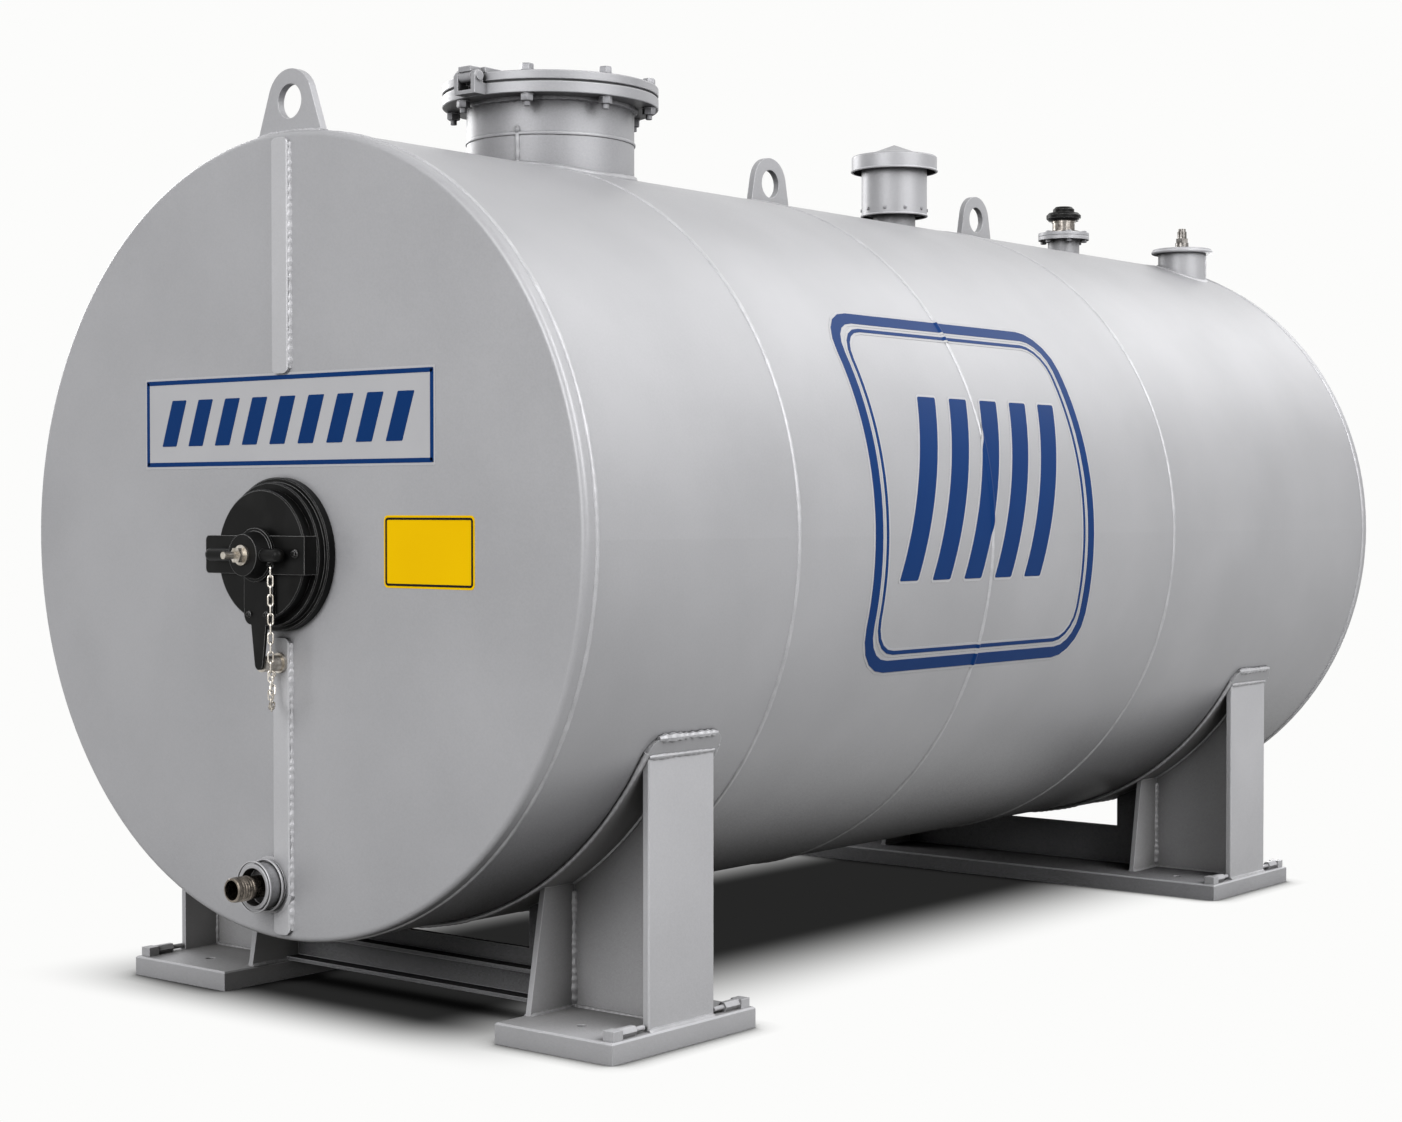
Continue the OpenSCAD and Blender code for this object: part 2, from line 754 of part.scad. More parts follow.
// Turned body with a low foot on the flange and a narrow ring under its cap
module valve_body() {
    ring_share = 0.16;
    waist_share = 0.93;
    r = valve_body_d / 2;
    foot_r = valve_neck_d / 2;
    ring_h = valve_body_h * ring_share;
    color(bright) on_valve(valve_neck_h + 2 * valve_flange_t) rotate_extrude() polygon([[0, 0], [foot_r, 0],
        [foot_r, ring_h], [r * waist_share, ring_h], [r * waist_share, valve_body_h - ring_h],
        [r, valve_body_h - ring_h], [r, valve_body_h], [0, valve_body_h]]);
}

module valve_cap() {
    r = valve_brim_d / 2;
    top_r = valve_top_d / 2;
    bevel_share = 0.3;
    bevel = valve_brim_h * bevel_share;
    h = valve_brim_h + valve_top_h;
    color(black) on_valve(valve_neck_h + 2 * valve_flange_t + valve_body_h) rotate_extrude() polygon([
        [0, 0], [r - bevel, 0], [r, bevel], [r, valve_brim_h - bevel], [r - bevel, valve_brim_h],
        [top_r, valve_brim_h], [top_r, h - bevel], [top_r - bevel, h], [0, h]]);
}

module gauge_collar() {
    color(paint) set_on_neck(gauge_x, gauge_y, gauge_collar_d, neck_t, gauge_shell_h + gauge_collar_h);
}

module gauge_lid() {
    color(paint) translate([gauge_x, at(gauge_y), gauge_top_z])
        bevelled_disc(gauge_lid_d, gauge_lid_t, flange_bevel);
}

// Round gland with a hexagonal nut, and a stem with a narrower tip
module gauge_stem() {
    nut_h_share = 0.3;
    tip_h_share = 0.2;
    tip_d_share = 0.8;
    nut_h = gauge_stem_h * nut_h_share;
    tip_h = gauge_stem_h * tip_h_share;
    top = gauge_gland_h + gauge_stem_h;
    color(bright) translate([gauge_x, at(gauge_y), gauge_top_z + gauge_lid_t]) {
        cylinder(d = gauge_gland_d, h = gauge_gland_h);
        cylinder(d = gauge_stem_d, h = top - tip_h);
        cylinder(d = gauge_stem_d * tip_d_share, h = top);
        translate([0, 0, gauge_gland_h]) cylinder(d = gauge_gland_d, h = nut_h, $fn = 6);
    }
}

module hatch_ring() {
    ring_r = hatch_ring_d / 2;
    step_r = hatch_step_d / 2;
    color(black) out_of_front(0, hatch_z) rotate_extrude() polygon([[hatch_bore_d / 2, 0], [ring_r, 0],
        [ring_r, hatch_ring_t - hatch_bevel], [ring_r - hatch_bevel, hatch_ring_t], [step_r, hatch_ring_t],
        [step_r, hatch_step_out - hatch_bevel], [step_r - hatch_bevel, hatch_step_out],
        [hatch_bore_d / 2, hatch_step_out]]);
}

module hatch_cap() {
    r = hatch_cap_d / 2;
    color(black) out_of_front(0, hatch_z) translate([0, 0, hatch_step_out]) rotate_extrude() polygon([
        [0, 0], [r, 0], [r, hatch_cap_t - hatch_bevel], [r - hatch_bevel, hatch_cap_t], [0, hatch_cap_t]]);
}

// Bar across the cap; its right end turns back and stands on the ring's step
module hatch_yoke() {
    step_chord = sqrt(pow(hatch_step_d / 2, 2) - pow(yoke_h / 2, 2));
    turn_x = hatch_cap_d / 2 + yoke_gap;
    color(black) out_of_front(0, hatch_z) {
        translate([0, 0, hatch_cap_out]) linear_extrude(yoke_t) {
            translate([-yoke_reach / 2, 0]) rounded_plate(yoke_reach, yoke_h, yoke_corner_r);
            translate([-yoke_reach / 2, -yoke_h / 2]) square([step_chord + yoke_reach / 2, yoke_h]);
        }
        translate([turn_x, -yoke_h / 2, hatch_step_out])
            cube([step_chord - turn_x, yoke_h, hatch_cap_t + yoke_t]);
    }
}

// Tapered hub that stands on a ring
module hub_cone() {
    body_share = 0.5;
    front_r = hub_front_d / 2;
    body_r = front_r + (hub_base_d / 2 - front_r) * body_share;
    translate([0, 0, yoke_out]) rotate_extrude() polygon([[0, 0], [hub_base_d / 2, 0],
        [hub_base_d / 2, hub_ring_t], [body_r, hub_ring_t], [front_r, hub_len], [0, hub_len]]);
}

module hatch_hub() {
    color(black) out_of_front(0, hatch_z) hub_cone();
}

module hatch_screw() {
    washer_out = hub_out + washer_t;
    color(bright) out_of_front(0, hatch_z) {
        translate([0, 0, hub_out]) cylinder(d = washer_d, h = washer_t);
        translate([0, 0, washer_out]) cylinder(d = screw_nut_d, h = screw_nut_t, $fn = 6);
        translate([0, 0, washer_out]) cylinder(d = screw_d, h = screw_reach - washer_out);
    }
}

// Ring that stands square to the chain's plane
module chain_eye() {
    rotate([0, chain_heading + 90, 0]) rotate_extrude() translate([eye_r, 0]) circle(d = chain_wire_d);
}

// Round bar with domed ends through the hub, and the eye that carries the chain
module hatch_handle() {
    r = handle_d / 2;
    color(black) out_of_front(0, hatch_z) translate([0, 0, handle_out]) difference() {
        union() {
            translate([-handle_left + r, 0, 0]) rotate([0, 90, 0])
                cylinder(r = r, h = handle_left + handle_right - handle_d);
            translate([-handle_left + r, 0, 0]) sphere(r);
            translate([handle_right - r, 0, 0]) sphere(r);
            translate([chain_x, -r - eye_r, 0]) chain_eye();
        }
        translate([0, 0, -handle_out]) hub_cone();
    }
}

// Plate that hangs below the yoke on the cap, with a tail that tapers to the anchor stud
module hatch_arm() {
    top = -yoke_h / 2;
    corner_x = arm_w / 2 - arm_corner_r;
    corner_z = -arm_drop + arm_corner_r;
    tip_r_share = 0.36;
    tip_r = anchor_d * tip_r_share;
    color(black) out_of_front(0, hatch_z) translate([0, 0, hatch_cap_out]) linear_extrude(arm_t)
        polygon(concat([[-arm_w / 2, top]], arc([-corner_x, corner_z], arm_corner_r, 180, 270),
            arc([0, -anchor_drop], tip_r, 180, 360),
            arc([corner_x, corner_z], arm_corner_r, 270, 360), [[arm_w / 2, top]]));
}

// Stud on the lower bar that holds the arm's tail, with an eye for the chain's other end
module hatch_anchor() {
    color(bright) out_of_front(0, hatch_z - anchor_drop) {
        translate([0, 0, bar_t]) cylinder(d = anchor_foot_d, h = anchor_foot_t);
        translate([0, 0, bar_t]) cylinder(d = anchor_d, h = hatch_cap_out - bar_t);
        translate([0, -anchor_d / 2 - eye_r, hatch_cap_out / 2]) chain_eye();
    }
}

// The chain hangs in an upright plane: it drops from the handle's eye, turns in a half circle and
// rises to the stud's eye. The two ends are given across, up and out from the hatch's centre.
eye_drop = 2 * eye_r - (chain_wire_d + link_gap) / 2;
chain_from = [chain_x, -handle_d / 2 - eye_drop, handle_out];
chain_to = [0, -anchor_drop - anchor_d / 2 - eye_drop, hatch_cap_out / 2];
chain_span = chain_to - chain_from;
chain_heading = atan2(-chain_span[2], chain_span[0]);
turn_r = norm([chain_span[0], chain_span[2]]) / 2;
turn_len = PI * turn_r;
drop_len = chain_from[1] + chain_depth - turn_r;
rise_len = chain_to[1] + chain_depth - turn_r;
chain_len = drop_len + turn_len + rise_len;
// An odd number of links, so that the first and last both lie square to their eyes
chain_links = 2 * floor((chain_len / chain_pitch - 1) / 2) + 1;
link_step = chain_len / chain_links;

// Place on the chain's line at a length from its upper end, along and up in the chain's plane
function chain_place(s) =
    s < drop_len ? [0, -s]
    : s < drop_len + turn_len ? let (a = 180 * (s - drop_len) / turn_len)
        [turn_r - turn_r * cos(a), -drop_len - turn_r * sin(a)]
    : [2 * turn_r, -drop_len + s - drop_len - turn_len];

// Places round a link's wire centre line, along X: two half rings with straight sides between them
function link_path(ring_r, straight) = [for (side = sides, i = [0 : bend_steps])
    let (a = 180 * i / bend_steps - 90 * side) [side * straight / 2, 0] + ring_r * [cos(a), sin(a)]];

// One welded link along X: a round wire swept along its closed centre line
module chain_link() {
    ring_r = (chain_link_w - chain_wire_d) / 2;
    path = link_path(ring_r, link_step + chain_wire_d + link_gap - 2 * ring_r);
    rings = len(path);
    wire_r = chain_wire_d / 2;
    points = [for (p = path, k = [0 : wire_sides - 1])
        let (out = p - [sign(p[0]) * min(abs(p[0]), abs(path[0][0])), 0],
            a = 360 * k / wire_sides,
            flat = p + out / norm(out) * wire_r * cos(a))
        [flat[0], flat[1], wire_r * sin(a)]];
    faces = [for (i = [0 : rings - 1], k = [0 : wire_sides - 1])
        let (here = i * wire_sides, next = (i + 1) % rings * wire_sides, turn = (k + 1) % wire_sides)
        [here + turn, next + turn, next + k, here + k]];
    polyhedron(points, faces);
}

module hatch_chain() {
    color(bright) out_of_front(0, hatch_z) translate(chain_from) rotate([0, chain_heading, 0])
        for (i = [0 : chain_links - 1]) {
            from = chain_place(i * link_step);
            to = chain_place((i + 1) * link_step);
            run = to - from;
            translate((from + to) / 2) rotate(atan2(run[1], run[0]))
                rotate([90 * (i % 2), 0, 0]) chain_link();
        }
}

module drain_socket() {
    r = drain_socket_d / 2;
    pad_r = drain_pad_d / 2;
    bore_r = drain_body_d / 2;
    recess_r = drain_recess_d / 2;
    floor_out = drain_socket_len - drain_recess;
    groove_share = 0.5;
    groove_from_share = 0.4;
    groove_to_share = 0.6;
    groove_r = pad_r - drain_pad_out * groove_share;
    color(paint) out_of_front(-drain_left, drain_z) rotate_extrude() polygon([[bore_r, 0], [pad_r, 0],
        [pad_r, drain_pad_t * groove_from_share], [groove_r, drain_pad_t * groove_from_share],
        [groove_r, drain_pad_t * groove_to_share], [pad_r, drain_pad_t * groove_to_share],
        [pad_r, drain_pad_t], [r, drain_pad_t], [r, drain_socket_len - flange_bevel],
        [r - flange_bevel, drain_socket_len], [recess_r, drain_socket_len], [recess_r, floor_out],
        [bore_r, floor_out]]);
}

// Pipe stub in the socket with a wider threaded end
module drain_nipple() {
    r = drain_nipple_d / 2;
    body_r = drain_body_d / 2;
    bore_r = drain_bore_d / 2;
    thread_out = drain_nipple_len - drain_thread_len;
    color(bright) out_of_front(-drain_left, drain_z) rotate_extrude() polygon([[bore_r, 0], [body_r, 0],
        [body_r, thread_out], [r, thread_out], [r, drain_nipple_len - flange_bevel],
        [r - flange_bevel, drain_nipple_len], [bore_r, drain_nipple_len]]);
}

// Curved pads between the tank and its saddles, with rounded upper corners
module saddle_pads() {
    low = axis_h - pad_r - overrun;
    h = 2 * (pad_top_z - low);
    color(paint) for (y = saddles) intersection() {
        tank_ring(y - pad_w / 2 - overrun, y + pad_w / 2 + overrun, pad_r, tank_r);
        translate([0, at(y), pad_top_z - h / 2]) across(-pad_r, 2 * pad_r)
            rounded_plate(pad_w, h, pad_corner_r);
    }
}

// Box that stands on a foot at one side of a saddle, cut to the pad's curve
module under_pad(x, width_x, y, width_y, low, high) {
    difference() {
        translate([x, at(y) - width_y / 2, low]) cube([width_x, width_y, high - low]);
        tank_core(pad_r);
    }
}

// Upright plates with bevelled outer edges
module saddle_legs() {
    color(paint) for (y = saddles, side = sides) difference() {
        translate([side * leg_inner_x, at(y), foot_t]) rotate(-90 * side)
            linear_extrude(pad_top_z - foot_t) bevelled_outline(leg_w, leg_t, leg_bevel);
        tank_core(pad_r);
    }
}

module saddle_webs() {
    web_w = leg_inner_x - rib_outer_x;
    color(paint) for (y = saddles, side = sides)
        under_pad(side < 0 ? -leg_inner_x : rib_outer_x, web_w, y, web_t, foot_t, pad_top_z);
}

module saddle_ribs() {
    color(paint) for (y = saddles, side = sides) difference() {
        translate([0, at(y), 0]) across(side * rib_x - rib_t / 2, rib_t) polygon([[-rib_foot_w / 2, foot_t],
            [rib_foot_w / 2, foot_t], [rib_top_w / 2, rib_top_z], [-rib_top_w / 2, rib_top_z]]);
        tank_core(pad_r);
    }
}

// Plate between the ribs of one saddle, low in the middle and raised to the pad at its ends
module cross_plate(y, low) {
    under_pad(-rib_inner_x, 2 * rib_inner_x, y, web_t, low, cross_top_h);
    for (x = [-rib_inner_x, cross_raise_x]) under_pad(x, cross_raise_w, y, web_t, low, rib_top_z);
}

module saddle_cross_plates() {
    color(paint) {
        cross_plate(saddle_front_y, foot_t + beam_h);
        cross_plate(saddle_rear_y, foot_t);
    }
}

module anchor_holes(y) {
    for (sx = sides, sy = sides) translate([sx * anchor_hole_x, at(y) + sy * anchor_hole_y, -overrun])
        cylinder(d = anchor_hole_d, h = foot_t + 2 * overrun);
}

// Plate on the ground under a saddle, with a bevel round its upper edges
module foot_plate(x, w, y) {
    intersection() {
        translate([0, at(y), 0]) across(x, w) bevelled_outline(foot_depth, foot_t, foot_bevel);
        translate([x + w / 2, at(y) + foot_depth / 2, 0]) rotate([90, 0, 0])
            linear_extrude(foot_depth) bevelled_outline(w, foot_t, foot_bevel);
    }
}

module front_feet() {
    foot_w = foot_outer_x - foot_inner_x;
    color(paint) difference() {
        for (x = [-foot_outer_x, foot_inner_x]) foot_plate(x, foot_w, saddle_front_y);
        anchor_holes(saddle_front_y);
    }
}

module rear_base() {
    color(paint) difference() {
        foot_plate(-foot_outer_x, 2 * foot_outer_x, saddle_rear_y);
        anchor_holes(saddle_rear_y);
    }
}

// Rolled beam between the front saddle's ribs
module front_cross_beam() {
    color(paint) translate([0, at(saddle_front_y), foot_t]) across(-rib_inner_x, 2 * rib_inner_x) {
        translate([-beam_w / 2, 0]) square([beam_w, beam_t]);
        translate([-beam_w / 2, beam_h - beam_t]) square([beam_w, beam_t]);
        translate([-beam_t / 2, 0]) square([beam_t, beam_h]);
    }
}

// Hold-down clip along the outer edge of a foot: a thin rod, a hexagonal barrel and an end block
module foot_clip() {
    barrel_from_share = 0.3;
    block_from_share = 0.74;
    barrel_y = clip_len * barrel_from_share;
    block_y = clip_len * block_from_share;
    barrel_d = clip_barrel_w / cos(30);
    translate([0, 0, clip_barrel_w / 2]) rotate([-90, 0, 0]) {
        cylinder(d = clip_rod_d, h = clip_len);
        translate([0, 0, barrel_y]) cylinder(d = barrel_d, h = block_y - barrel_y, $fn = 6);
    }
    translate([-clip_w / 2, block_y, 0]) cube([clip_w, clip_len - block_y, clip_barrel_w]);
}

module foot_clips() {
    clip_x = foot_outer_x - clip_w / 2 - clip_gap;
    color(paint) for (y = saddles, side = sides, end = sides)
        translate([side * clip_x, at(y) + end * (leg_w / 2 + clip_gap), foot_t])
            rotate(end < 0 ? 180 : 0) foot_clip();
}

front_end();
rear_end();
shell_course_1();
shell_course_2();
shell_course_3();
shell_course_4();
end_bars();
manway_neck();
manway_flange();
manway_gasket();
manway_hinge_bracket();
manway_cover();
manway_hinge_strap();
lifting_lug_front();
lifting_lug_middle();
lifting_lug_rear();
vent_neck();
vent_body();
vent_cap();
valve_neck();
valve_flange();
valve_body();
valve_cap();
gauge_collar();
gauge_lid();
gauge_stem();
hatch_ring();
hatch_cap();
hatch_yoke();
hatch_hub();
hatch_screw();
hatch_handle();
hatch_arm();
hatch_anchor();
hatch_chain();
drain_socket();
drain_nipple();
saddle_pads();
saddle_legs();
saddle_webs();
saddle_ribs();
saddle_cross_plates();
front_feet();
front_cross_beam();
rear_base();
foot_clips();
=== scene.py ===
import math

import bmesh
import bpy
from mathutils import Matrix, Vector


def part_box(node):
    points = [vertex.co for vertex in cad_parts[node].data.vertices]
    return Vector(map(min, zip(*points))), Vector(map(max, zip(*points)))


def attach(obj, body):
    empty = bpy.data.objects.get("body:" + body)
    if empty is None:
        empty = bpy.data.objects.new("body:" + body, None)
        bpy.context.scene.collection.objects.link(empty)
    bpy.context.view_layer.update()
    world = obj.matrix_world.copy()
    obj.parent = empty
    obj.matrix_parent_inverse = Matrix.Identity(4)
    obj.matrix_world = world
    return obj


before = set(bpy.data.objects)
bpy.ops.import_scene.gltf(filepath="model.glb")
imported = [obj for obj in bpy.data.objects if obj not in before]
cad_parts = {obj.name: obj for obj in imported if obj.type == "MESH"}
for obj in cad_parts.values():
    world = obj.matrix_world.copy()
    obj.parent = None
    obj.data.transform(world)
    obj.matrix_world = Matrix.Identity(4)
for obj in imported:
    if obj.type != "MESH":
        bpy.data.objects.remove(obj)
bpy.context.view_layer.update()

# Shell and ends: rolled courses of mild steel plate between two flat ends with turned rims, welded into
# one drum. The whole drum is sprayed with satin aluminium enamel, which gives a soft grey sheen, slow
# clouds of tone and a fine bright grain.
end_low, end_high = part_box("front_end")
face_y = end_low.y
tank_r = (end_high.x - end_low.x) / 2
axis_z = (end_low.z + end_high.z) / 2
tank_top = end_high.z


def colour(code):
    """Linear colour of an sRGB hex code."""
    parts = [int(code[i:i + 2], 16) / 255 for i in (1, 3, 5)]
    return (*(p / 12.92 if p <= 0.04045 else ((p + 0.055) / 1.055) ** 2.4 for p in parts), 1.0)


def add_node(tree, kind, feeds=None, **settings):
    """Adds a node with its settings, and fills its inputs with values or with other nodes' outputs."""
    made = tree.nodes.new("ShaderNode" + kind)
    for key, value in settings.items():
        setattr(made, key, value)
    for key, value in (feeds or {}).items():
        if isinstance(value, bpy.types.NodeSocket):
            tree.links.new(value, made.inputs[key])
        else:
            made.inputs[key].default_value = value
    return made


def eased_edge(tree, radius_mm, first, full):
    """Normal of edges eased to a radius, and how far each place lies on such an edge, from 0 to 1."""
    eased = add_node(tree, "Bevel", {"Radius": radius_mm / 1000}, samples=4)
    facing = add_node(tree, "NewGeometry").outputs["Normal"]
    along = add_node(tree, "VectorMath", {0: eased.outputs[0], 1: facing}, operation="DOT_PRODUCT")
    edge = add_node(tree, "MapRange", {"Value": along.outputs["Value"], "From Min": first, "From Max": full})
    return eased.outputs[0], edge.outputs[0]


def openness(tree, reach_mm, shut, clear):
    """How open a place is to its surroundings within a reach, from 0 for shut in to 1 for clear."""
    hollow = add_node(tree, "AmbientOcclusion", {"Distance": reach_mm / 1000}, samples=4)
    unshaded = add_node(tree, "MapRange", {"Value": hollow.outputs["AO"], "From Min": shut, "From Max": clear})
    return unshaded.outputs[0]


def sprayed_enamel(name, light, shade, metallic=0.24, shine=0.35, painted_shade="#3C3B3A", edge_highlight="#D2D2D5",
                   edge_mm=3.0, smooth=0.36, rough=0.5, cloud_mm=420, grain_mm=4.5, peel_mm=9):
    """Sprayed enamel: close tones in slow clouds, fine grain, orange peel, painted shade and highlights."""
    finish = bpy.data.materials.new(name)
    finish.use_nodes = True
    tree = finish.node_tree
    shader = tree.nodes["Principled BSDF"]
    shader.inputs["Metallic"].default_value = metallic
    place = add_node(tree, "TexCoord").outputs["Object"]
    clouds = add_node(tree, "TexNoise", {"Vector": place, "Scale": 1000 / cloud_mm, "Detail": 4.0})
    # The real flake is far under a millimetre; it is drawn coarser so that it shows.
    grain = add_node(tree, "TexNoise", {"Vector": place, "Scale": 1000 / grain_mm, "Detail": 2.0})
    peel = add_node(tree, "TexNoise", {"Vector": place, "Scale": 1000 / peel_mm, "Detail": 1.0})
    tone = add_node(tree, "Math", {0: clouds.outputs[0], 1: 0.65}, operation="MULTIPLY")
    tone = add_node(tree, "Math", {0: grain.outputs[0], 1: 0.35, 2: tone.outputs[0]},
                    operation="MULTIPLY_ADD")
    mix = add_node(tree, "MapRange", {"Value": tone.outputs[0], "From Min": 0.36, "From Max": 0.64})
    coat = add_node(tree, "Mix", {0: mix.outputs[0], 6: colour(shade), 7: colour(light)}, data_type="RGBA")
    # Painted shade darkens the coat where it is shut in: under the belly, between plates and in tight
    # corners.
    unshaded = openness(tree, reach_mm=1000, shut=0.15, clear=0.5)
    shaded_coat = add_node(tree, "Mix", {0: unshaded, 6: colour(painted_shade), 7: coat.outputs[2]}, data_type="RGBA")
    corner_unshaded = openness(tree, reach_mm=90, shut=0.2, clear=0.75)
    corner = add_node(tree, "MapRange", {"Value": corner_unshaded, "To Min": 0.55})
    corner_shaded_coat = add_node(tree, "VectorMath", {0: shaded_coat.outputs[2], "Scale": corner.outputs[0]},
                     operation="SCALE")
    # Plate edges are eased by the grinder; the lighter colour there is a painted highlight.
    bent, edge = eased_edge(tree, edge_mm, first=0.99, full=0.86)
    paint = add_node(tree, "Mix", {0: edge, 6: corner_shaded_coat.outputs[0], 7: colour(edge_highlight)}, data_type="RGBA")
    # Painted shade also dims the sheen where a face is shut in.
    sheen = add_node(tree, "Math", {0: unshaded, 1: shine}, operation="MULTIPLY")
    gloss = add_node(tree, "MapRange", {"Value": grain.outputs[0], "From Min": 0.3, "From Max": 0.7,
                                        "To Min": smooth, "To Max": rough})
    relief = add_node(tree, "Bump", {"Height": peel.outputs[0], "Strength": 0.25, "Distance": 0.0006,
                                     "Normal": bent})
    tree.links.new(paint.outputs[2], shader.inputs["Base Color"])
    tree.links.new(sheen.outputs[0], shader.inputs["Specular IOR Level"])
    tree.links.new(gloss.outputs[0], shader.inputs["Roughness"])
    tree.links.new(relief.outputs[0], shader.inputs["Normal"])
    return finish


def paint_nodes(finish, *names):
    """Gives CAD nodes a finish."""
    for name in names:
        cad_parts[name].data.materials.clear()
        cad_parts[name].data.materials.append(finish)


silver_enamel = sprayed_enamel("silver_enamel", "#ABABAE", "#A1A1A4")
courses = [f"shell_course_{i}" for i in range(1, 5)]
paint_nodes(silver_enamel, "front_end", "rear_end", *courses)

# Round seams: single-run arc welds that join the courses to each other and to the turned rims. Each is a
# low rounded bead whose lumps mark the steps of the torch, in the same enamel lightened as a painted
# highlight.
lit_weld_enamel = sprayed_enamel("lit_weld_enamel", "#C0C0C3", "#ABABAE", painted_shade="#858484", edge_mm=1.0, cloud_mm=60,
                             grain_mm=3, peel_mm=5)
BEAD_SIDES = 8
BEAD_STEPS = 5
# A bead is given as its width, its height, the pitch of its lumps and, where it isn't usual, their swell.
SEAM_BEAD = (0.013, 0.0034, 0.034)


def add_piece(name, shape, finish, body="tank", crease=40):
    """Makes a finished bmesh a piece that rides on a body, smooth but for edges over the crease angle."""
    bmesh.ops.recalc_face_normals(shape, faces=shape.faces)
    mesh = bpy.data.meshes.new(name)
    shape.to_mesh(mesh)
    shape.free()
    mesh.shade_smooth()
    mesh.set_sharp_from_angle(angle=math.radians(crease))
    mesh.materials.append(finish)
    piece = bpy.data.objects.new(name, mesh)
    bpy.context.scene.collection.objects.link(piece)
    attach(piece, body)


def join(shape, part):
    """Adds one bmesh to another and frees it."""
    spare = bpy.data.meshes.new("spare")
    part.to_mesh(spare)
    part.free()
    shape.from_mesh(spare)
    bpy.data.meshes.remove(spare)


def basis(middle, along, out):
    """Matrix that puts a shape's Z along a direction and its X as near as it can to another."""
    z = Vector(along).normalized()
    x = (Vector(out) - z * z.dot(Vector(out))).normalized()
    y = z.cross(x)
    turn = Matrix((x, y, z)).transposed().to_4x4()
    return Matrix.Translation(middle) @ turn


def lump(run, pitch, swell):
    """Thickness of a weld bead at a length along its run, about 1, with its steps and slower wander."""
    step = math.cos(2 * math.pi * run / pitch + math.sin(run / pitch * 1.7))
    drift = math.sin(run / pitch * 0.83) * math.sin(run / pitch * 0.37 + 1.0)
    return 1 + swell * (0.6 * step + drift)


def weld_ring(shape, middle, axis, start, width, height, pitch, swell=0.15, sweep=2 * math.pi, lay=None):
    """Adds a weld bead round an axis, from a start direction whose length is the bead's radius."""
    radius = Vector(start).length
    bead = bmesh.new()
    bmesh.ops.create_circle(bead, segments=BEAD_SIDES, radius=1.0)
    section = Matrix.Translation((radius, 0, 0)) @ Matrix.Diagonal((height, 1, width / 2, 1))
    bmesh.ops.transform(bead, matrix=section @ Matrix.Rotation(math.pi / 2, 4, "X"), verts=bead.verts)
    closed = sweep >= 2 * math.pi
    steps = max(6, round(radius * sweep / pitch * BEAD_STEPS))
    bmesh.ops.spin(bead, geom=bead.verts[:] + bead.edges[:], cent=(0, 0, 0), axis=(0, 0, 1),
                   angle=sweep, steps=steps, use_merge=closed)
    if not closed:
        bmesh.ops.holes_fill(bead, edges=[edge for edge in bead.edges if edge.is_boundary])
    for point in bead.verts:
        turned = math.atan2(point.co.y, point.co.x) % (2 * math.pi)
        line = Vector((math.cos(turned), math.sin(turned), 0)) * radius
        point.co = line + (point.co - line) * lump(turned * radius, pitch, swell)
    bmesh.ops.transform(bead, matrix=basis(middle, axis, start), verts=bead.verts)
    if lay:
        for point in bead.verts:
            point.co = lay(point.co)
    join(shape, bead)


def weld_line(shape, start, end, out, width, height, pitch, swell=0.2):
    """Adds a straight weld bead between two places, bulging towards a direction."""
    start, end = Vector(start), Vector(end)
    length = (end - start).length
    bead = bmesh.new()
    bmesh.ops.create_cone(bead, cap_ends=True, segments=BEAD_SIDES, radius1=1, radius2=1, depth=length)
    runs = [edge for edge in bead.edges if abs(edge.verts[0].co.z - edge.verts[1].co.z) > length / 2]
    bmesh.ops.subdivide_edges(bead, edges=runs, cuts=max(4, round(length / pitch * BEAD_STEPS)),
                              use_grid_fill=False)
    for point in bead.verts:
        fade = min(1.0, (length / 2 - abs(point.co.z)) / width + 0.35)
        size = lump(point.co.z + length / 2, pitch, swell) * math.sqrt(fade)
        point.co.x *= height * size
        point.co.y *= width / 2 * size
    bmesh.ops.transform(bead, matrix=basis((start + end) / 2, end - start, out), verts=bead.verts)
    join(shape, bead)


seams = bmesh.new()
seam_ys = [end_high.y] + [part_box(name)[0].y for name in courses[1:]] + [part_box("rear_end")[0].y]
for y in seam_ys:
    weld_ring(seams, (0, y, axis_z), (0, 1, 0), (0, 0, tank_r), *SEAM_BEAD)
add_piece("round_seam_welds", seams, lit_weld_enamel)

# End bars: two flat steel bars down the middle of the front end. A lumpy weld holds the right edge of each
# and a fine one the left. The bars' enamel is a lighter copy of the tank's, as painted light.
BAR_UPPER_LEN = 0.58
BAR_WELD_SHORT = 0.012
BAR_LEFT_BEAD = (0.007, 0.003, 0.020, 0.1)
BAR_RIGHT_BEAD = (0.014, 0.0055, 0.022, 0.32)
bar_low, bar_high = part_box("end_bars")
hatch_low, hatch_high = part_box("hatch_ring")
bar_gap = tank_top - bar_high.z
lit_bar_enamel = sprayed_enamel("lit_bar_enamel", "#BCBCBF", "#B2B2B5")
paint_nodes(lit_bar_enamel, "end_bars")
bar_welds = bmesh.new()
for low, high in ((bar_high.z - BAR_UPPER_LEN, bar_high.z), (bar_low.z, hatch_low.z - bar_gap)):
    for side, bead in ((-1, BAR_LEFT_BEAD), (1, BAR_RIGHT_BEAD)):
        x = side * bar_high.x
        weld_line(bar_welds, (x, face_y, low + BAR_WELD_SHORT), (x, face_y, high - BAR_WELD_SHORT),
                  (side, -1, 0), *bead)
add_piece("end_bar_welds", bar_welds, lit_weld_enamel)

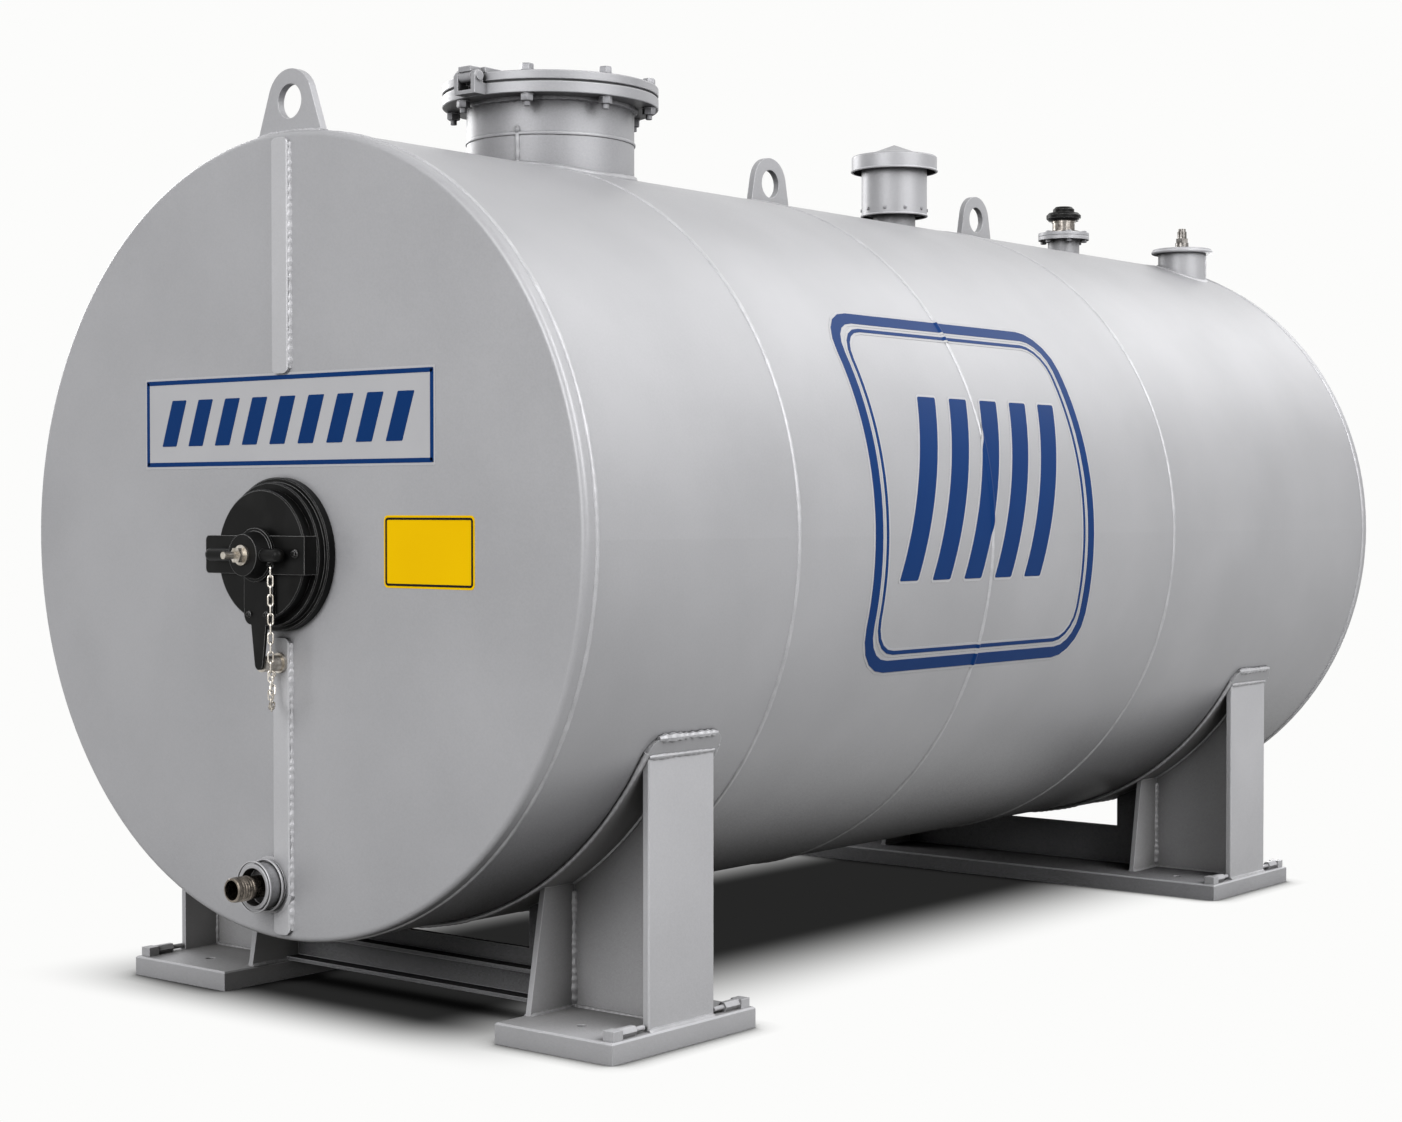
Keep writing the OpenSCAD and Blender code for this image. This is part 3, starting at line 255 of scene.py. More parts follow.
# Saddles: thick foot plates, leg plates, ribs, webs and a curved wear pad under the drum, all cut from
# plate and fillet welded. Heavy beads run along the pad's upper edge and round each plate's foot.
pad_low, pad_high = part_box("saddle_pads")
leg_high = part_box("saddle_legs")[1]
rib_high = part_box("saddle_ribs")[1]
foot_low, foot_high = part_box("front_feet")
base_low, base_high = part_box("rear_base")
PAD_W = 0.272
PAD_CORNER = 0.036
PAD_WELD_IN = 0.005
PAD_WELD_OVER = 0.012
PAD_EDGE_IN = 0.004
PAD_EDGE_TURN = 0.04
LEG_W = 0.248
LEG_T = 0.018
RIB_FOOT_W = 0.34
RIB_T = 0.016
RIB_WELD_SHORT = 0.02
WEB_T = 0.016
WEB_WELD_SHORT = 0.03
PAD_TOP_BEAD = (0.017, 0.009, 0.026, 0.3)
PAD_EDGE_BEAD = (0.011, 0.006, 0.024)
LEG_TOP_BEAD = (0.012, 0.007, 0.024)
LEG_FOOT_BEAD = (0.016, 0.008, 0.030, 0.1)
RIB_BEAD = (0.020, 0.009, 0.022)
FILLET_BEAD = (0.012, 0.006, 0.020)
pad_r = axis_z - pad_low.z
foot_top = foot_high.z
saddle_ys = [(foot_low.y + foot_high.y) / 2, (base_low.y + base_high.y) / 2]
# The saddle enamel is a lighter copy of the tank's, as painted light, with painted shade where shut in.
lit_saddle_enamel = sprayed_enamel("lit_saddle_enamel", "#C0C0C3", "#B5B5B8", metallic=0.0, shine=0.14,
                               painted_shade="#7C7B7A")
paint_nodes(lit_saddle_enamel, "saddle_pads", "saddle_legs", "saddle_webs", "saddle_ribs", "front_feet",
            "foot_clips")
# The cross members lie low under the drum, and their coat carries deep painted shade there.
shaded_cross_enamel = sprayed_enamel("shaded_cross_enamel", "#C0C0C3", "#B5B5B8", metallic=0.0, shine=0.14,
                              painted_shade="#2B2A2A")
paint_nodes(shaded_cross_enamel, "saddle_cross_plates", "front_cross_beam", "rear_base")
saddle_welds = bmesh.new()
leg_top = axis_z - math.sqrt(pad_r ** 2 - leg_high.x ** 2)
rib_turn = math.asin(rib_high.x / pad_r)
leg_turn = math.asin((leg_high.x - LEG_T) / pad_r)
pad_turn = math.asin(pad_high.x / pad_r) - PAD_EDGE_TURN
pad_reach = PAD_W / 2 - PAD_CORNER + PAD_WELD_OVER
for y in saddle_ys:
    for side in (-1, 1):
        pad_x = side * (pad_high.x - PAD_WELD_IN)
        leg_x = side * leg_high.x
        rib_x = side * rib_high.x
        inner = side * (leg_high.x - LEG_T)
        cross_runs = ((pad_x, pad_high.z, pad_reach, PAD_TOP_BEAD), (leg_x, leg_top, LEG_W / 2, LEG_TOP_BEAD),
                      (leg_x, foot_top, LEG_W / 2, LEG_FOOT_BEAD))
        for x, z, reach, bead in cross_runs:
            weld_line(saddle_welds, (x, y - reach, z), (x, y + reach, z), (side, 0, 1), *bead)
        for face in (-1, 1):
            web_y = y + face * WEB_T / 2
            weld_line(saddle_welds, (rib_x, web_y, foot_top), (inner, web_y, foot_top), (0, face, 1),
                      *FILLET_BEAD)
            weld_line(saddle_welds, (rib_x, web_y, foot_top), (rib_x, web_y, rib_high.z - RIB_WELD_SHORT),
                      (side, face, 0), *RIB_BEAD)
            weld_line(saddle_welds, (inner, web_y, foot_top), (inner, web_y, leg_top - WEB_WELD_SHORT),
                      (-side, face, 0), *FILLET_BEAD)
            start = Vector((side * math.sin(rib_turn), 0, -math.cos(rib_turn))) * pad_r
            weld_ring(saddle_welds, (0, web_y, axis_z), (0, -side, 0), start, *FILLET_BEAD,
                      sweep=leg_turn - rib_turn)
            rib_face = side * (rib_high.x - (0 if face > 0 else RIB_T))
            weld_line(saddle_welds, (rib_face, y - RIB_FOOT_W / 2, foot_top),
                      (rib_face, y + RIB_FOOT_W / 2, foot_top), (face * side, 0, 1), *FILLET_BEAD)
    for face in (-1, 1):
        start = Vector((math.sin(pad_turn), 0, -math.cos(pad_turn))) * (pad_r - PAD_EDGE_IN)
        weld_ring(saddle_welds, (0, y + face * PAD_W / 2, axis_z), (0, 1, 0), start, *PAD_EDGE_BEAD,
                  sweep=2 * pad_turn)
add_piece("saddle_welds", saddle_welds, lit_weld_enamel)

# Manway: a rolled neck on the shell with a flat ring flange, a rubber gasket and a heavy plate cover that
# eight hexagon bolts hold down. It swings on a strap hinge at the front, and all but the gasket is painted.
neck_low, neck_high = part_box("manway_neck")
flange_low, flange_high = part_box("manway_flange")
cover_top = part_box("manway_cover")[1].z
manway_y = (neck_low.y + neck_high.y) / 2
neck_r = (neck_high.x - neck_low.x) / 2
NECK_RING_RISE = 0.08
NECK_SEAM_RISE = 0.09
NECK_SEAM_TURN = math.radians(-70)
KNOB_RISE = 0.082
KNOB_LEN = 0.018
NECK_FOOT_BEAD = (0.022, 0.009, 0.040, 0.07)
NECK_RING_BEAD = (0.010, 0.004, 0.030, 0.08)
NECK_SEAM_BEAD = (0.012, 0.0045, 0.030)
FLANGE_BEAD = (0.024, 0.010, 0.026)
KNOB_BEAD = (0.020, 0.010, 0.04)
BOLT_COUNT = 8
BOLT_TURN = math.radians(29.5)
BOLT_EDGE = 0.022
BOLT_D = 0.018
BOLT_FLATS = 0.032
HEAD_H = 0.017
NUT_H = 0.018
NUT_TURN = 0.4
WASHER_D = 0.037
WASHER_T = 0.003
BOLT_END = 0.034
# The manway's enamel is a darker copy of the tank's, as painted shade.
shaded_manway_enamel = sprayed_enamel("shaded_manway_enamel", "#9E9EA1", "#919194")
paint_nodes(shaded_manway_enamel, "manway_neck", "manway_flange", "manway_cover", "manway_hinge_strap",
            "manway_hinge_bracket")


def moulded_rubber(name, tone, dust, mottle_mm=6):
    """Black nitrile rubber sheet: matt, with a fine mottled surface."""
    finish = bpy.data.materials.new(name)
    finish.use_nodes = True
    tree = finish.node_tree
    shader = tree.nodes["Principled BSDF"]
    shader.inputs["Roughness"].default_value = 0.75
    place = add_node(tree, "TexCoord").outputs["Object"]
    mottle = add_node(tree, "TexNoise", {"Vector": place, "Scale": 1000 / mottle_mm, "Detail": 3.0})
    skin = add_node(tree, "Mix", {0: mottle.outputs[0], 6: colour(tone), 7: colour(dust)}, data_type="RGBA")
    tree.links.new(skin.outputs[2], shader.inputs["Base Color"])
    return finish


def on_shell(place):
    """Drops a place from the level of the tank's top onto the shell below it."""
    sag = tank_r - math.sqrt(max(0.0, tank_r ** 2 - place.x ** 2))
    return Vector((place.x, place.y, place.z - sag))


def hexagon(shape, flats, depth, place, chamfer=0.12):
    """Adds a hexagon head or nut that stands on its place, with its outer rim chamfered."""
    part = bmesh.new()
    bmesh.ops.create_cone(part, cap_ends=True, segments=6, radius1=flats / math.sqrt(3),
                          radius2=flats / math.sqrt(3), depth=depth)
    rim = [edge for edge in part.edges if all(point.co.z > 0 for point in edge.verts)]
    bmesh.ops.bevel(part, geom=rim, offset=flats * chamfer, affect="EDGES", segments=2, profile=0.5,
                    material=-1)
    bmesh.ops.transform(part, matrix=place @ Matrix.Translation((0, 0, depth / 2)), verts=part.verts)
    join(shape, part)


def round_bar(shape, diameter, depth, place, sides=20, chamfer=0.08):
    """Adds a turned disc, washer or bar that stands on its place, with both rims chamfered."""
    part = bmesh.new()
    bmesh.ops.create_cone(part, cap_ends=True, segments=sides, radius1=diameter / 2, radius2=diameter / 2,
                          depth=depth)
    rims = [edge for edge in part.edges if edge.verts[0].co.z * edge.verts[1].co.z > 0]
    bmesh.ops.bevel(part, geom=rims, offset=min(diameter * chamfer, depth * 0.3), affect="EDGES", segments=2,
                    profile=0.5, material=-1)
    bmesh.ops.transform(part, matrix=place @ Matrix.Translation((0, 0, depth / 2)), verts=part.verts)
    join(shape, part)


gasket_rubber = moulded_rubber("gasket_rubber", "#262627", "#4A4A4C")
paint_nodes(gasket_rubber, "manway_gasket")
neck_welds = bmesh.new()
weld_ring(neck_welds, (0, manway_y, tank_top), (0, 0, 1), (neck_r, 0, 0), *NECK_FOOT_BEAD, lay=on_shell)
for z, bead in ((tank_top + NECK_RING_RISE, NECK_RING_BEAD), (flange_low.z, FLANGE_BEAD)):
    weld_ring(neck_welds, (0, manway_y, z), (0, 0, 1), (neck_r, 0, 0), *bead)
seam_place = Vector((math.cos(NECK_SEAM_TURN), math.sin(NECK_SEAM_TURN), 0))
seam_foot = on_shell(Vector((0, manway_y, tank_top)) + seam_place * neck_r)
weld_line(neck_welds, seam_foot, (seam_foot.x, seam_foot.y, tank_top + NECK_SEAM_RISE), seam_place,
          *NECK_SEAM_BEAD)
knob = Vector((seam_foot.x, seam_foot.y, tank_top + KNOB_RISE))
weld_line(neck_welds, knob, knob + Vector((0, 0, KNOB_LEN)), seam_place, *KNOB_BEAD)
# The neck's welds take the manway's darker tone, which is painted shade as well.
shaded_neck_weld_enamel = sprayed_enamel("shaded_neck_weld_enamel", "#A2A2A5", "#929295", edge_mm=1.0, cloud_mm=60,
                                  grain_mm=3, peel_mm=5)
add_piece("manway_welds", neck_welds, shaded_neck_weld_enamel)

bolts = bmesh.new()
nuts = bmesh.new()
on_washer = Matrix.Translation((0, 0, WASHER_T))
bolt_r = (flange_high.x - flange_low.x) / 2 - BOLT_EDGE
for i in range(BOLT_COUNT):
    turn = BOLT_TURN + 2 * math.pi * i / BOLT_COUNT
    foot = Vector((bolt_r * math.cos(turn), manway_y + bolt_r * math.sin(turn), 0))
    top = Matrix.Translation((foot.x, foot.y, cover_top)) @ Matrix.Rotation(turn, 4, "Z")
    under = Matrix.Translation((foot.x, foot.y, flange_low.z)) @ Matrix.Rotation(math.pi, 4, "X")
    round_bar(bolts, WASHER_D, WASHER_T, top)
    hexagon(bolts, BOLT_FLATS, HEAD_H, top @ on_washer)
    shank = cover_top - flange_low.z + BOLT_END
    round_bar(bolts, BOLT_D, shank, top @ Matrix.Rotation(math.pi, 4, "X"))
    round_bar(nuts, WASHER_D, WASHER_T, under)
    turned = under @ Matrix.Rotation(i * NUT_TURN, 4, "Z")
    hexagon(nuts, BOLT_FLATS, NUT_H, turned @ on_washer)
# The bolts' enamel is a darker copy of the tank's, as painted shade.
shaded_bolt_enamel = sprayed_enamel("shaded_bolt_enamel", "#97979A", "#78787C", metallic=0.3, edge_mm=1.0, cloud_mm=40,
                             grain_mm=3, peel_mm=6)
add_piece("manway_cover_bolts", bolts, shaded_bolt_enamel, "cover", crease=25)
add_piece("manway_nuts", nuts, shaded_bolt_enamel, crease=25)

# Lifting lugs: thick plates with a round head and a drilled eye, set upright on the shell with a fillet
# weld along each foot. They are painted with the tank.
LUG_T = 0.020
LUG_BEAD = (0.014, 0.008, 0.022)
paint_nodes(silver_enamel, "lifting_lug_front", "lifting_lug_middle", "lifting_lug_rear")
lug_welds = bmesh.new()
for name in ("lifting_lug_middle", "lifting_lug_rear"):
    low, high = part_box(name)
    for side in (-1, 1):
        weld_line(lug_welds, (side * LUG_T / 2, low.y, tank_top), (side * LUG_T / 2, high.y, tank_top),
                  (side, 0, 1), *LUG_BEAD)
low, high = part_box("lifting_lug_front")
lug_y = (low.y + high.y) / 2
turn = math.asin(high.x / tank_r)
start = Vector((-math.sin(turn), 0, math.cos(turn))) * tank_r
for side in (-1, 1):
    weld_ring(lug_welds, (0, lug_y + side * LUG_T / 2, axis_z), (0, 1, 0), start, *LUG_BEAD, sweep=2 * turn)
add_piece("lifting_lug_welds", lug_welds, lit_weld_enamel)

# Vent, relief valve and level gauge: fittings on short pipe necks along the top. The vent is a sheet steel
# hood with rolled rims; the valve has a plated body under a black cap; the gauge is a lidded collar.
vent_low, vent_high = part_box("vent_body")
hood_low, hood_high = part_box("vent_cap")
vent_y = (vent_low.y + vent_high.y) / 2
valve_low, valve_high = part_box("valve_flange")
valve_y = (valve_low.y + valve_high.y) / 2
gauge_low, gauge_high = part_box("gauge_collar")
lid_low, lid_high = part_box("gauge_lid")
gauge_x = (gauge_low.x + gauge_high.x) / 2
gauge_y = (gauge_low.y + gauge_high.y) / 2
paint_nodes(silver_enamel, "vent_neck", "vent_body", "vent_cap", "valve_neck", "valve_flange", "gauge_collar",
            "gauge_lid")


def plated_steel(name, light, shade, smooth, rough, wear_mm=18, scuff_mm=2.5):
    """Plated or bare turned steel: bright metal with cloudy patches and fine scuffs."""
    finish = bpy.data.materials.new(name)
    finish.use_nodes = True
    tree = finish.node_tree
    shader = tree.nodes["Principled BSDF"]
    shader.inputs["Metallic"].default_value = 1.0
    place = add_node(tree, "TexCoord").outputs["Object"]
    cloud = add_node(tree, "TexNoise", {"Vector": place, "Scale": 1000 / wear_mm, "Detail": 5.0})
    scuff = add_node(tree, "TexNoise", {"Vector": place, "Scale": 1000 / scuff_mm, "Detail": 2.0})
    tint = add_node(tree, "MapRange", {"Value": cloud.outputs[0], "From Min": 0.35, "From Max": 0.65})
    metal = add_node(tree, "Mix", {0: tint.outputs[0], 6: colour(shade), 7: colour(light)}, data_type="RGBA")
    gloss = add_node(tree, "MapRange", {"Value": scuff.outputs[0], "From Min": 0.3, "From Max": 0.7,
                                        "To Min": smooth, "To Max": rough})
    relief = add_node(tree, "Bump", {"Height": scuff.outputs[0], "Strength": 0.2, "Distance": 0.0003})
    tree.links.new(metal.outputs[2], shader.inputs["Base Color"])
    tree.links.new(gloss.outputs[0], shader.inputs["Roughness"])
    tree.links.new(relief.outputs[0], shader.inputs["Normal"])
    return finish


valve_plate = plated_steel("valve_plate", "#8C8782", "#55504B", smooth=0.14, rough=0.30)
turned_steel = plated_steel("turned_steel", "#7F7C79", "#4F4C49", smooth=0.2, rough=0.36)
paint_nodes(valve_plate, "valve_body")
paint_nodes(turned_steel, "gauge_stem")
NECK_BEAD = (0.014, 0.007, 0.022)
COLLAR_BEAD = (0.009, 0.0035, 0.03)
COLLAR_SEAM_TURN = math.radians(14)
fitting_welds = bmesh.new()
for name, x, y in (("vent_neck", 0, vent_y), ("valve_neck", 0, valve_y), ("gauge_collar", gauge_x, gauge_y)):
    low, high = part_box(name)
    weld_ring(fitting_welds, (x, y, tank_top), (0, 0, 1), ((high.x - low.x) / 2, 0, 0), *NECK_BEAD,
              lay=on_shell)
collar_place = Vector((math.cos(COLLAR_SEAM_TURN), math.sin(COLLAR_SEAM_TURN), 0))
collar_edge = Vector((gauge_x, gauge_y, 0)) + collar_place * (gauge_high.x - gauge_low.x) / 2
weld_line(fitting_welds, on_shell(collar_edge + Vector((0, 0, tank_top))),
          collar_edge + Vector((0, 0, lid_low.z)), collar_place, *COLLAR_BEAD)
add_piece("fitting_welds", fitting_welds, lit_weld_enamel)

# A rolled rim is a plain bead with no lumps.
RIM_WIRE = 0.007
LID_LIP = 0.014
LID_LIP_IN = 0.002
RIM_PITCH = 0.06
rims = bmesh.new()
for low, high in ((vent_low, vent_high), (hood_low, hood_high)):
    weld_ring(rims, (0, vent_y, low.z + RIM_WIRE / 2), (0, 0, 1), ((high.x - low.x) / 2, 0, 0), RIM_WIRE,
              RIM_WIRE / 2, RIM_PITCH, 0)
lid_r = (lid_high.x - lid_low.x) / 2 - LID_LIP_IN
weld_ring(rims, (gauge_x, gauge_y, lid_low.z + LID_LIP / 2), (0, 0, 1), (lid_r, 0, 0), LID_LIP, LID_LIP / 2,
          RIM_PITCH, 0)
add_piece("rolled_rims", rims, lit_weld_enamel)

STUD_COUNT = 6
STUD_R = 0.076
STUD_TURN = math.radians(15)
STUD_FLATS = 0.019
STUD_HEAD_H = 0.006
STUD_NUT_H = 0.011
RIVET_COUNT = 10
RIVET_D = 0.011
RIVET_H = 0.003
RIVET_RISE = 0.022
studs = bmesh.new()
for i in range(STUD_COUNT):
    turn = STUD_TURN + 2 * math.pi * i / STUD_COUNT
    place = Matrix.Translation((STUD_R * math.cos(turn), valve_y + STUD_R * math.sin(turn), valve_high.z))
    hexagon(studs, STUD_FLATS, STUD_HEAD_H, place)
    under = Matrix.Translation((place.translation.x, place.translation.y, valve_low.z))
    hexagon(studs, STUD_FLATS, STUD_NUT_H, under @ Matrix.Rotation(math.pi, 4, "X"))
for i in range(RIVET_COUNT):
    turn = 2 * math.pi * i / RIVET_COUNT
    out = Vector((math.cos(turn), math.sin(turn), 0))
    place = Vector((0, vent_y, vent_low.z + RIVET_RISE)) + out * (vent_high.x - vent_low.x) / 2
    round_bar(studs, RIVET_D, RIVET_H, basis(place, out, (0, 0, 1)), sides=12)
add_piece("fitting_fasteners", studs, shaded_bolt_enamel, crease=25)


def gloss_enamel(name, tone, dust, edge_glint, film_mm=70, skin_mm=3, edge_mm=2.5):
    """Baked black enamel on a casting: deep, with a slight skin, a trace of dust and painted edge highlights.
    """
    finish = bpy.data.materials.new(name)
    finish.use_nodes = True
    tree = finish.node_tree
    shader = tree.nodes["Principled BSDF"]
    shader.inputs["Specular IOR Level"].default_value = 0.1
    place = add_node(tree, "TexCoord").outputs["Object"]
    film = add_node(tree, "TexNoise", {"Vector": place, "Scale": 1000 / film_mm, "Detail": 5.0})
    skin = add_node(tree, "TexNoise", {"Vector": place, "Scale": 1000 / skin_mm, "Detail": 2.0})
    amount = add_node(tree, "MapRange", {"Value": film.outputs[0], "From Min": 0.45, "From Max": 0.75})
    coat = add_node(tree, "Mix", {0: amount.outputs[0], 6: colour(tone), 7: colour(dust)}, data_type="RGBA")
    # The corners of a casting are dressed smooth, and a painted highlight lies on them.
    bent, edge = eased_edge(tree, edge_mm, first=0.97, full=0.8)
    enamel = add_node(tree, "Mix", {0: edge, 6: coat.outputs[2], 7: colour(edge_glint)}, data_type="RGBA")
    gloss = add_node(tree, "MapRange", {"Value": film.outputs[0], "From Min": 0.3, "From Max": 0.7,
                                        "To Min": 0.28, "To Max": 0.42})
    relief = add_node(tree, "Bump", {"Height": skin.outputs[0], "Strength": 0.18, "Distance": 0.0004,
                                     "Normal": bent})
    tree.links.new(enamel.outputs[2], shader.inputs["Base Color"])
    tree.links.new(gloss.outputs[0], shader.inputs["Roughness"])
    tree.links.new(relief.outputs[0], shader.inputs["Normal"])
    return finish


black_enamel = gloss_enamel("black_enamel", "#0A0A0A", "#161616", "#A8A8A8")
paint_nodes(black_enamel, "valve_cap")

# Hatch: a cast ring and cap on the front end, held shut by a yoke bar, a hub with a cross handle and a
# clamp screw, with a drop arm and a chain down to a stud. The castings are in black enamel; the screw, the
# chain and the stud are zinc plated.
paint_nodes(black_enamel, "hatch_ring", "hatch_cap", "hatch_yoke", "hatch_hub", "hatch_handle", "hatch_arm")
zinc_plate = plated_steel("zinc_plate", "#CFCAC2", "#9C958B", smooth=0.24, rough=0.42)
paint_nodes(zinc_plate, "hatch_screw", "hatch_anchor", "hatch_chain")
yoke_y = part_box("hatch_yoke")[0].y
arm_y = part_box("hatch_arm")[0].y
hatch_z = (hatch_low.z + hatch_high.z) / 2
YOKE_BOLT_X, YOKE_BOLT_RISE, YOKE_BOLT_FLATS = 0.140, 0.004, 0.014
ARM_BOLT_LEFT, ARM_BOLT_RIGHT, ARM_BOLT_RISE, ARM_BOLT_FLATS = -0.034, 0.030, -0.146, 0.011
HATCH_WASHER_T = 0.002
HATCH_WASHER_SHARE = 1.5
HATCH_HEAD_SHARE = 0.5
hatch_bolts = bmesh.new()
for x, y, rise, flats in ((YOKE_BOLT_X, yoke_y, YOKE_BOLT_RISE, YOKE_BOLT_FLATS),
                          (ARM_BOLT_LEFT, arm_y, ARM_BOLT_RISE, ARM_BOLT_FLATS),
                          (ARM_BOLT_RIGHT, arm_y, ARM_BOLT_RISE, ARM_BOLT_FLATS)):
    place = basis((x, y, hatch_z + rise), (0, -1, 0), (1, 0, 0))
    round_bar(hatch_bolts, flats * HATCH_WASHER_SHARE, HATCH_WASHER_T, place)
    hexagon(hatch_bolts, flats, flats * HATCH_HEAD_SHARE, place @ Matrix.Translation((0, 0, HATCH_WASHER_T)))
add_piece("hatch_bolts", hatch_bolts, black_enamel, crease=25)

# Drain: a heavy pipe socket low on the front end with a threaded steel nipple in it. The socket is painted
# with the tank; the nipple is bare steel with an outside thread.
nipple_low, nipple_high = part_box("drain_nipple")
socket_low, socket_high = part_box("drain_socket")
drain_x = (nipple_low.x + nipple_high.x) / 2
drain_z = (nipple_low.z + nipple_high.z) / 2
nipple_r = (nipple_high.x - nipple_low.x) / 2
THREAD_PITCH = 0.008
THREAD_H = 0.0012
THREAD_SINK = 0.001
THREAD_ROOT = 0.0026
THREAD_CREST = 0.0004
THREAD_START = 0.048
THREAD_TURNS = 5
TURN_STEPS = 48
SOCKET_FOOT_BEAD = (0.016, 0.009, 0.026, 0.08)
SOCKET_STEP_BEAD = (0.007, 0.003, 0.03, 0)
SOCKET_LIP_BEAD = (0.006, 0.002, 0.03, 0)
SOCKET_STEP = 0.022
SOCKET_LIP = 0.003
SOCKET_LIP_IN = 0.001
NOTCH_BEAD = (0.026, 0.010, 0.05, 0.1)
NOTCH_TURN = math.radians(-65)
NOTCH_SWEEP = math.radians(50)
NOTCH_OUT = 0.012
paint_nodes(silver_enamel, "drain_socket")
nipple_steel = plated_steel("nipple_steel", "#8E857B", "#524D47", smooth=0.2, rough=0.36, wear_mm=14)
paint_nodes(nipple_steel, "drain_nipple")
thread = bmesh.new()
# The real thread is about 2 mm a turn; it is drawn coarser so that it shows.
root_r = nipple_r - THREAD_SINK
crest_r = nipple_r + THREAD_H
ridge = ((root_r, 0, -THREAD_ROOT), (crest_r, 0, -THREAD_CREST), (crest_r, 0, THREAD_CREST),
         (root_r, 0, THREAD_ROOT))
thread.faces.new([thread.verts.new(corner) for corner in ridge])
bmesh.ops.spin(thread, geom=thread.verts[:] + thread.edges[:] + thread.faces[:], cent=(0, 0, 0),
               axis=(0, 0, 1), dvec=(0, 0, THREAD_PITCH / TURN_STEPS), angle=2 * math.pi * THREAD_TURNS,
               steps=TURN_STEPS * THREAD_TURNS)
thread_place = basis((drain_x, nipple_low.y + THREAD_START, drain_z), (0, -1, 0), (1, 0, 0))
bmesh.ops.transform(thread, matrix=thread_place, verts=thread.verts)
add_piece("drain_thread", thread, nipple_steel, crease=50)
drain_welds = bmesh.new()
socket_r = (socket_high.x - socket_low.x) / 2
socket_runs = ((face_y, socket_r, SOCKET_FOOT_BEAD), (face_y - SOCKET_STEP, socket_r, SOCKET_STEP_BEAD),
               (socket_low.y + SOCKET_LIP, socket_r - SOCKET_LIP_IN, SOCKET_LIP_BEAD))
for y, radius, bead in socket_runs:
    weld_ring(drain_welds, (drain_x, y, drain_z), (0, -1, 0), (radius, 0, 0), *bead)
# A short heavy run fills the notch between the socket and the bar.
notch = Vector((math.cos(NOTCH_TURN), 0, math.sin(NOTCH_TURN))) * (socket_r + NOTCH_OUT)
weld_ring(drain_welds, (drain_x, face_y, drain_z), (0, -1, 0), notch, *NOTCH_BEAD, sweep=NOTCH_SWEEP)
add_piece("drain_welds", drain_welds, lit_weld_enamel)

# Marks: thin cut vinyl on the paint. A framed panel with a row of slanted bars is on the front end, a bare
# yellow plate with a black line is beside the hatch, and a double frame with five slanted bars is wrapped
# on the right side of the shell.
VINYL_T = 0.0008


def cut_vinyl(name, tone, fade, rough, patch_mm=160):
    """Cast vinyl film: an even colour with a faint fade and a soft sheen."""
    finish = bpy.data.materials.new(name)
    finish.use_nodes = True
    tree = finish.node_tree
    shader = tree.nodes["Principled BSDF"]
    shader.inputs["Roughness"].default_value = rough
    shader.inputs["Specular IOR Level"].default_value = 0.06
    place = add_node(tree, "TexCoord").outputs["Object"]
    patch = add_node(tree, "TexNoise", {"Vector": place, "Scale": 1000 / patch_mm, "Detail": 4.0})
    film = add_node(tree, "Mix", {0: patch.outputs[0], 6: colour(tone), 7: colour(fade)}, data_type="RGBA")
    tree.links.new(film.outputs[2], shader.inputs["Base Color"])
    return finish


def panel(width, height, corner, inner=0.0):
    """Flat panel with rounded corners in XY; inner cuts a window that leaves a frame of that width."""
    sheet = bmesh.new()
    bmesh.ops.create_grid(sheet, x_segments=1, y_segments=1, size=0.5)
    bmesh.ops.transform(sheet, matrix=Matrix.Diagonal((width, height, 1, 1)), verts=sheet.verts)
    bmesh.ops.bevel(sheet, geom=sheet.verts[:], offset=corner, affect="VERTICES", segments=5, profile=0.5,
                    material=-1)
    if inner:
        bmesh.ops.inset_region(sheet, faces=sheet.faces[:], thickness=inner, use_boundary=True,
                               use_even_offset=True)
        window = [face for face in sheet.faces if len(face.verts) > 4]
        bmesh.ops.delete(sheet, geom=window, context="FACES")
    return sheet


def lay_on_front(shape, sheet, x, z, lift):
    """Gives a flat panel the film's thickness and lays it on the front end."""
    body = bmesh.ops.extrude_face_region(sheet, geom=sheet.faces[:])
    raised = [item for item in body["geom"] if isinstance(item, bmesh.types.BMVert)]
    bmesh.ops.translate(sheet, vec=(0, 0, VINYL_T), verts=raised)
    bmesh.ops.transform(sheet, matrix=basis((x, face_y - lift, z), (0, -1, 0), (1, 0, 0)), verts=sheet.verts)
    join(shape, sheet)


blue_vinyl = cut_vinyl("blue_vinyl", "#082F65", "#0B366E", rough=0.42)
pale_vinyl = cut_vinyl("pale_vinyl", "#BFBFC2", "#B5B5B8", rough=0.5)
yellow_vinyl = cut_vinyl("yellow_vinyl", "#FACA00", "#F3C000", rough=0.42)
black_vinyl = cut_vinyl("black_vinyl", "#111111", "#1B1B1B", rough=0.45)
SIGN_W, SIGN_H, SIGN_X, SIGN_Z = 1.055, 0.222, 0.0, 1.516
SIGN_MARGIN = 0.012
SIGN_FILM_CORNER = 0.004
SIGN_CORNER = 0.003
SIGN_LINE = 0.011
STRIPE_COUNT = 9
STRIPE_W, STRIPE_H, STRIPE_PITCH = 0.056, 0.118, 0.104
STRIPE_LEAN = 0.35
sign_base = bmesh.new()
sign_sheet = panel(SIGN_W + SIGN_MARGIN, SIGN_H + SIGN_MARGIN, SIGN_FILM_CORNER)
lay_on_front(sign_base, sign_sheet, SIGN_X, SIGN_Z, 0)
add_piece("front_sign_film", sign_base, pale_vinyl)
sign_blue = bmesh.new()
lay_on_front(sign_blue, panel(SIGN_W, SIGN_H, SIGN_CORNER, SIGN_LINE), SIGN_X, SIGN_Z, VINYL_T)
lean = Matrix(((1, STRIPE_LEAN, 0, 0), (0, 1, 0, 0), (0, 0, 1, 0), (0, 0, 0, 1)))
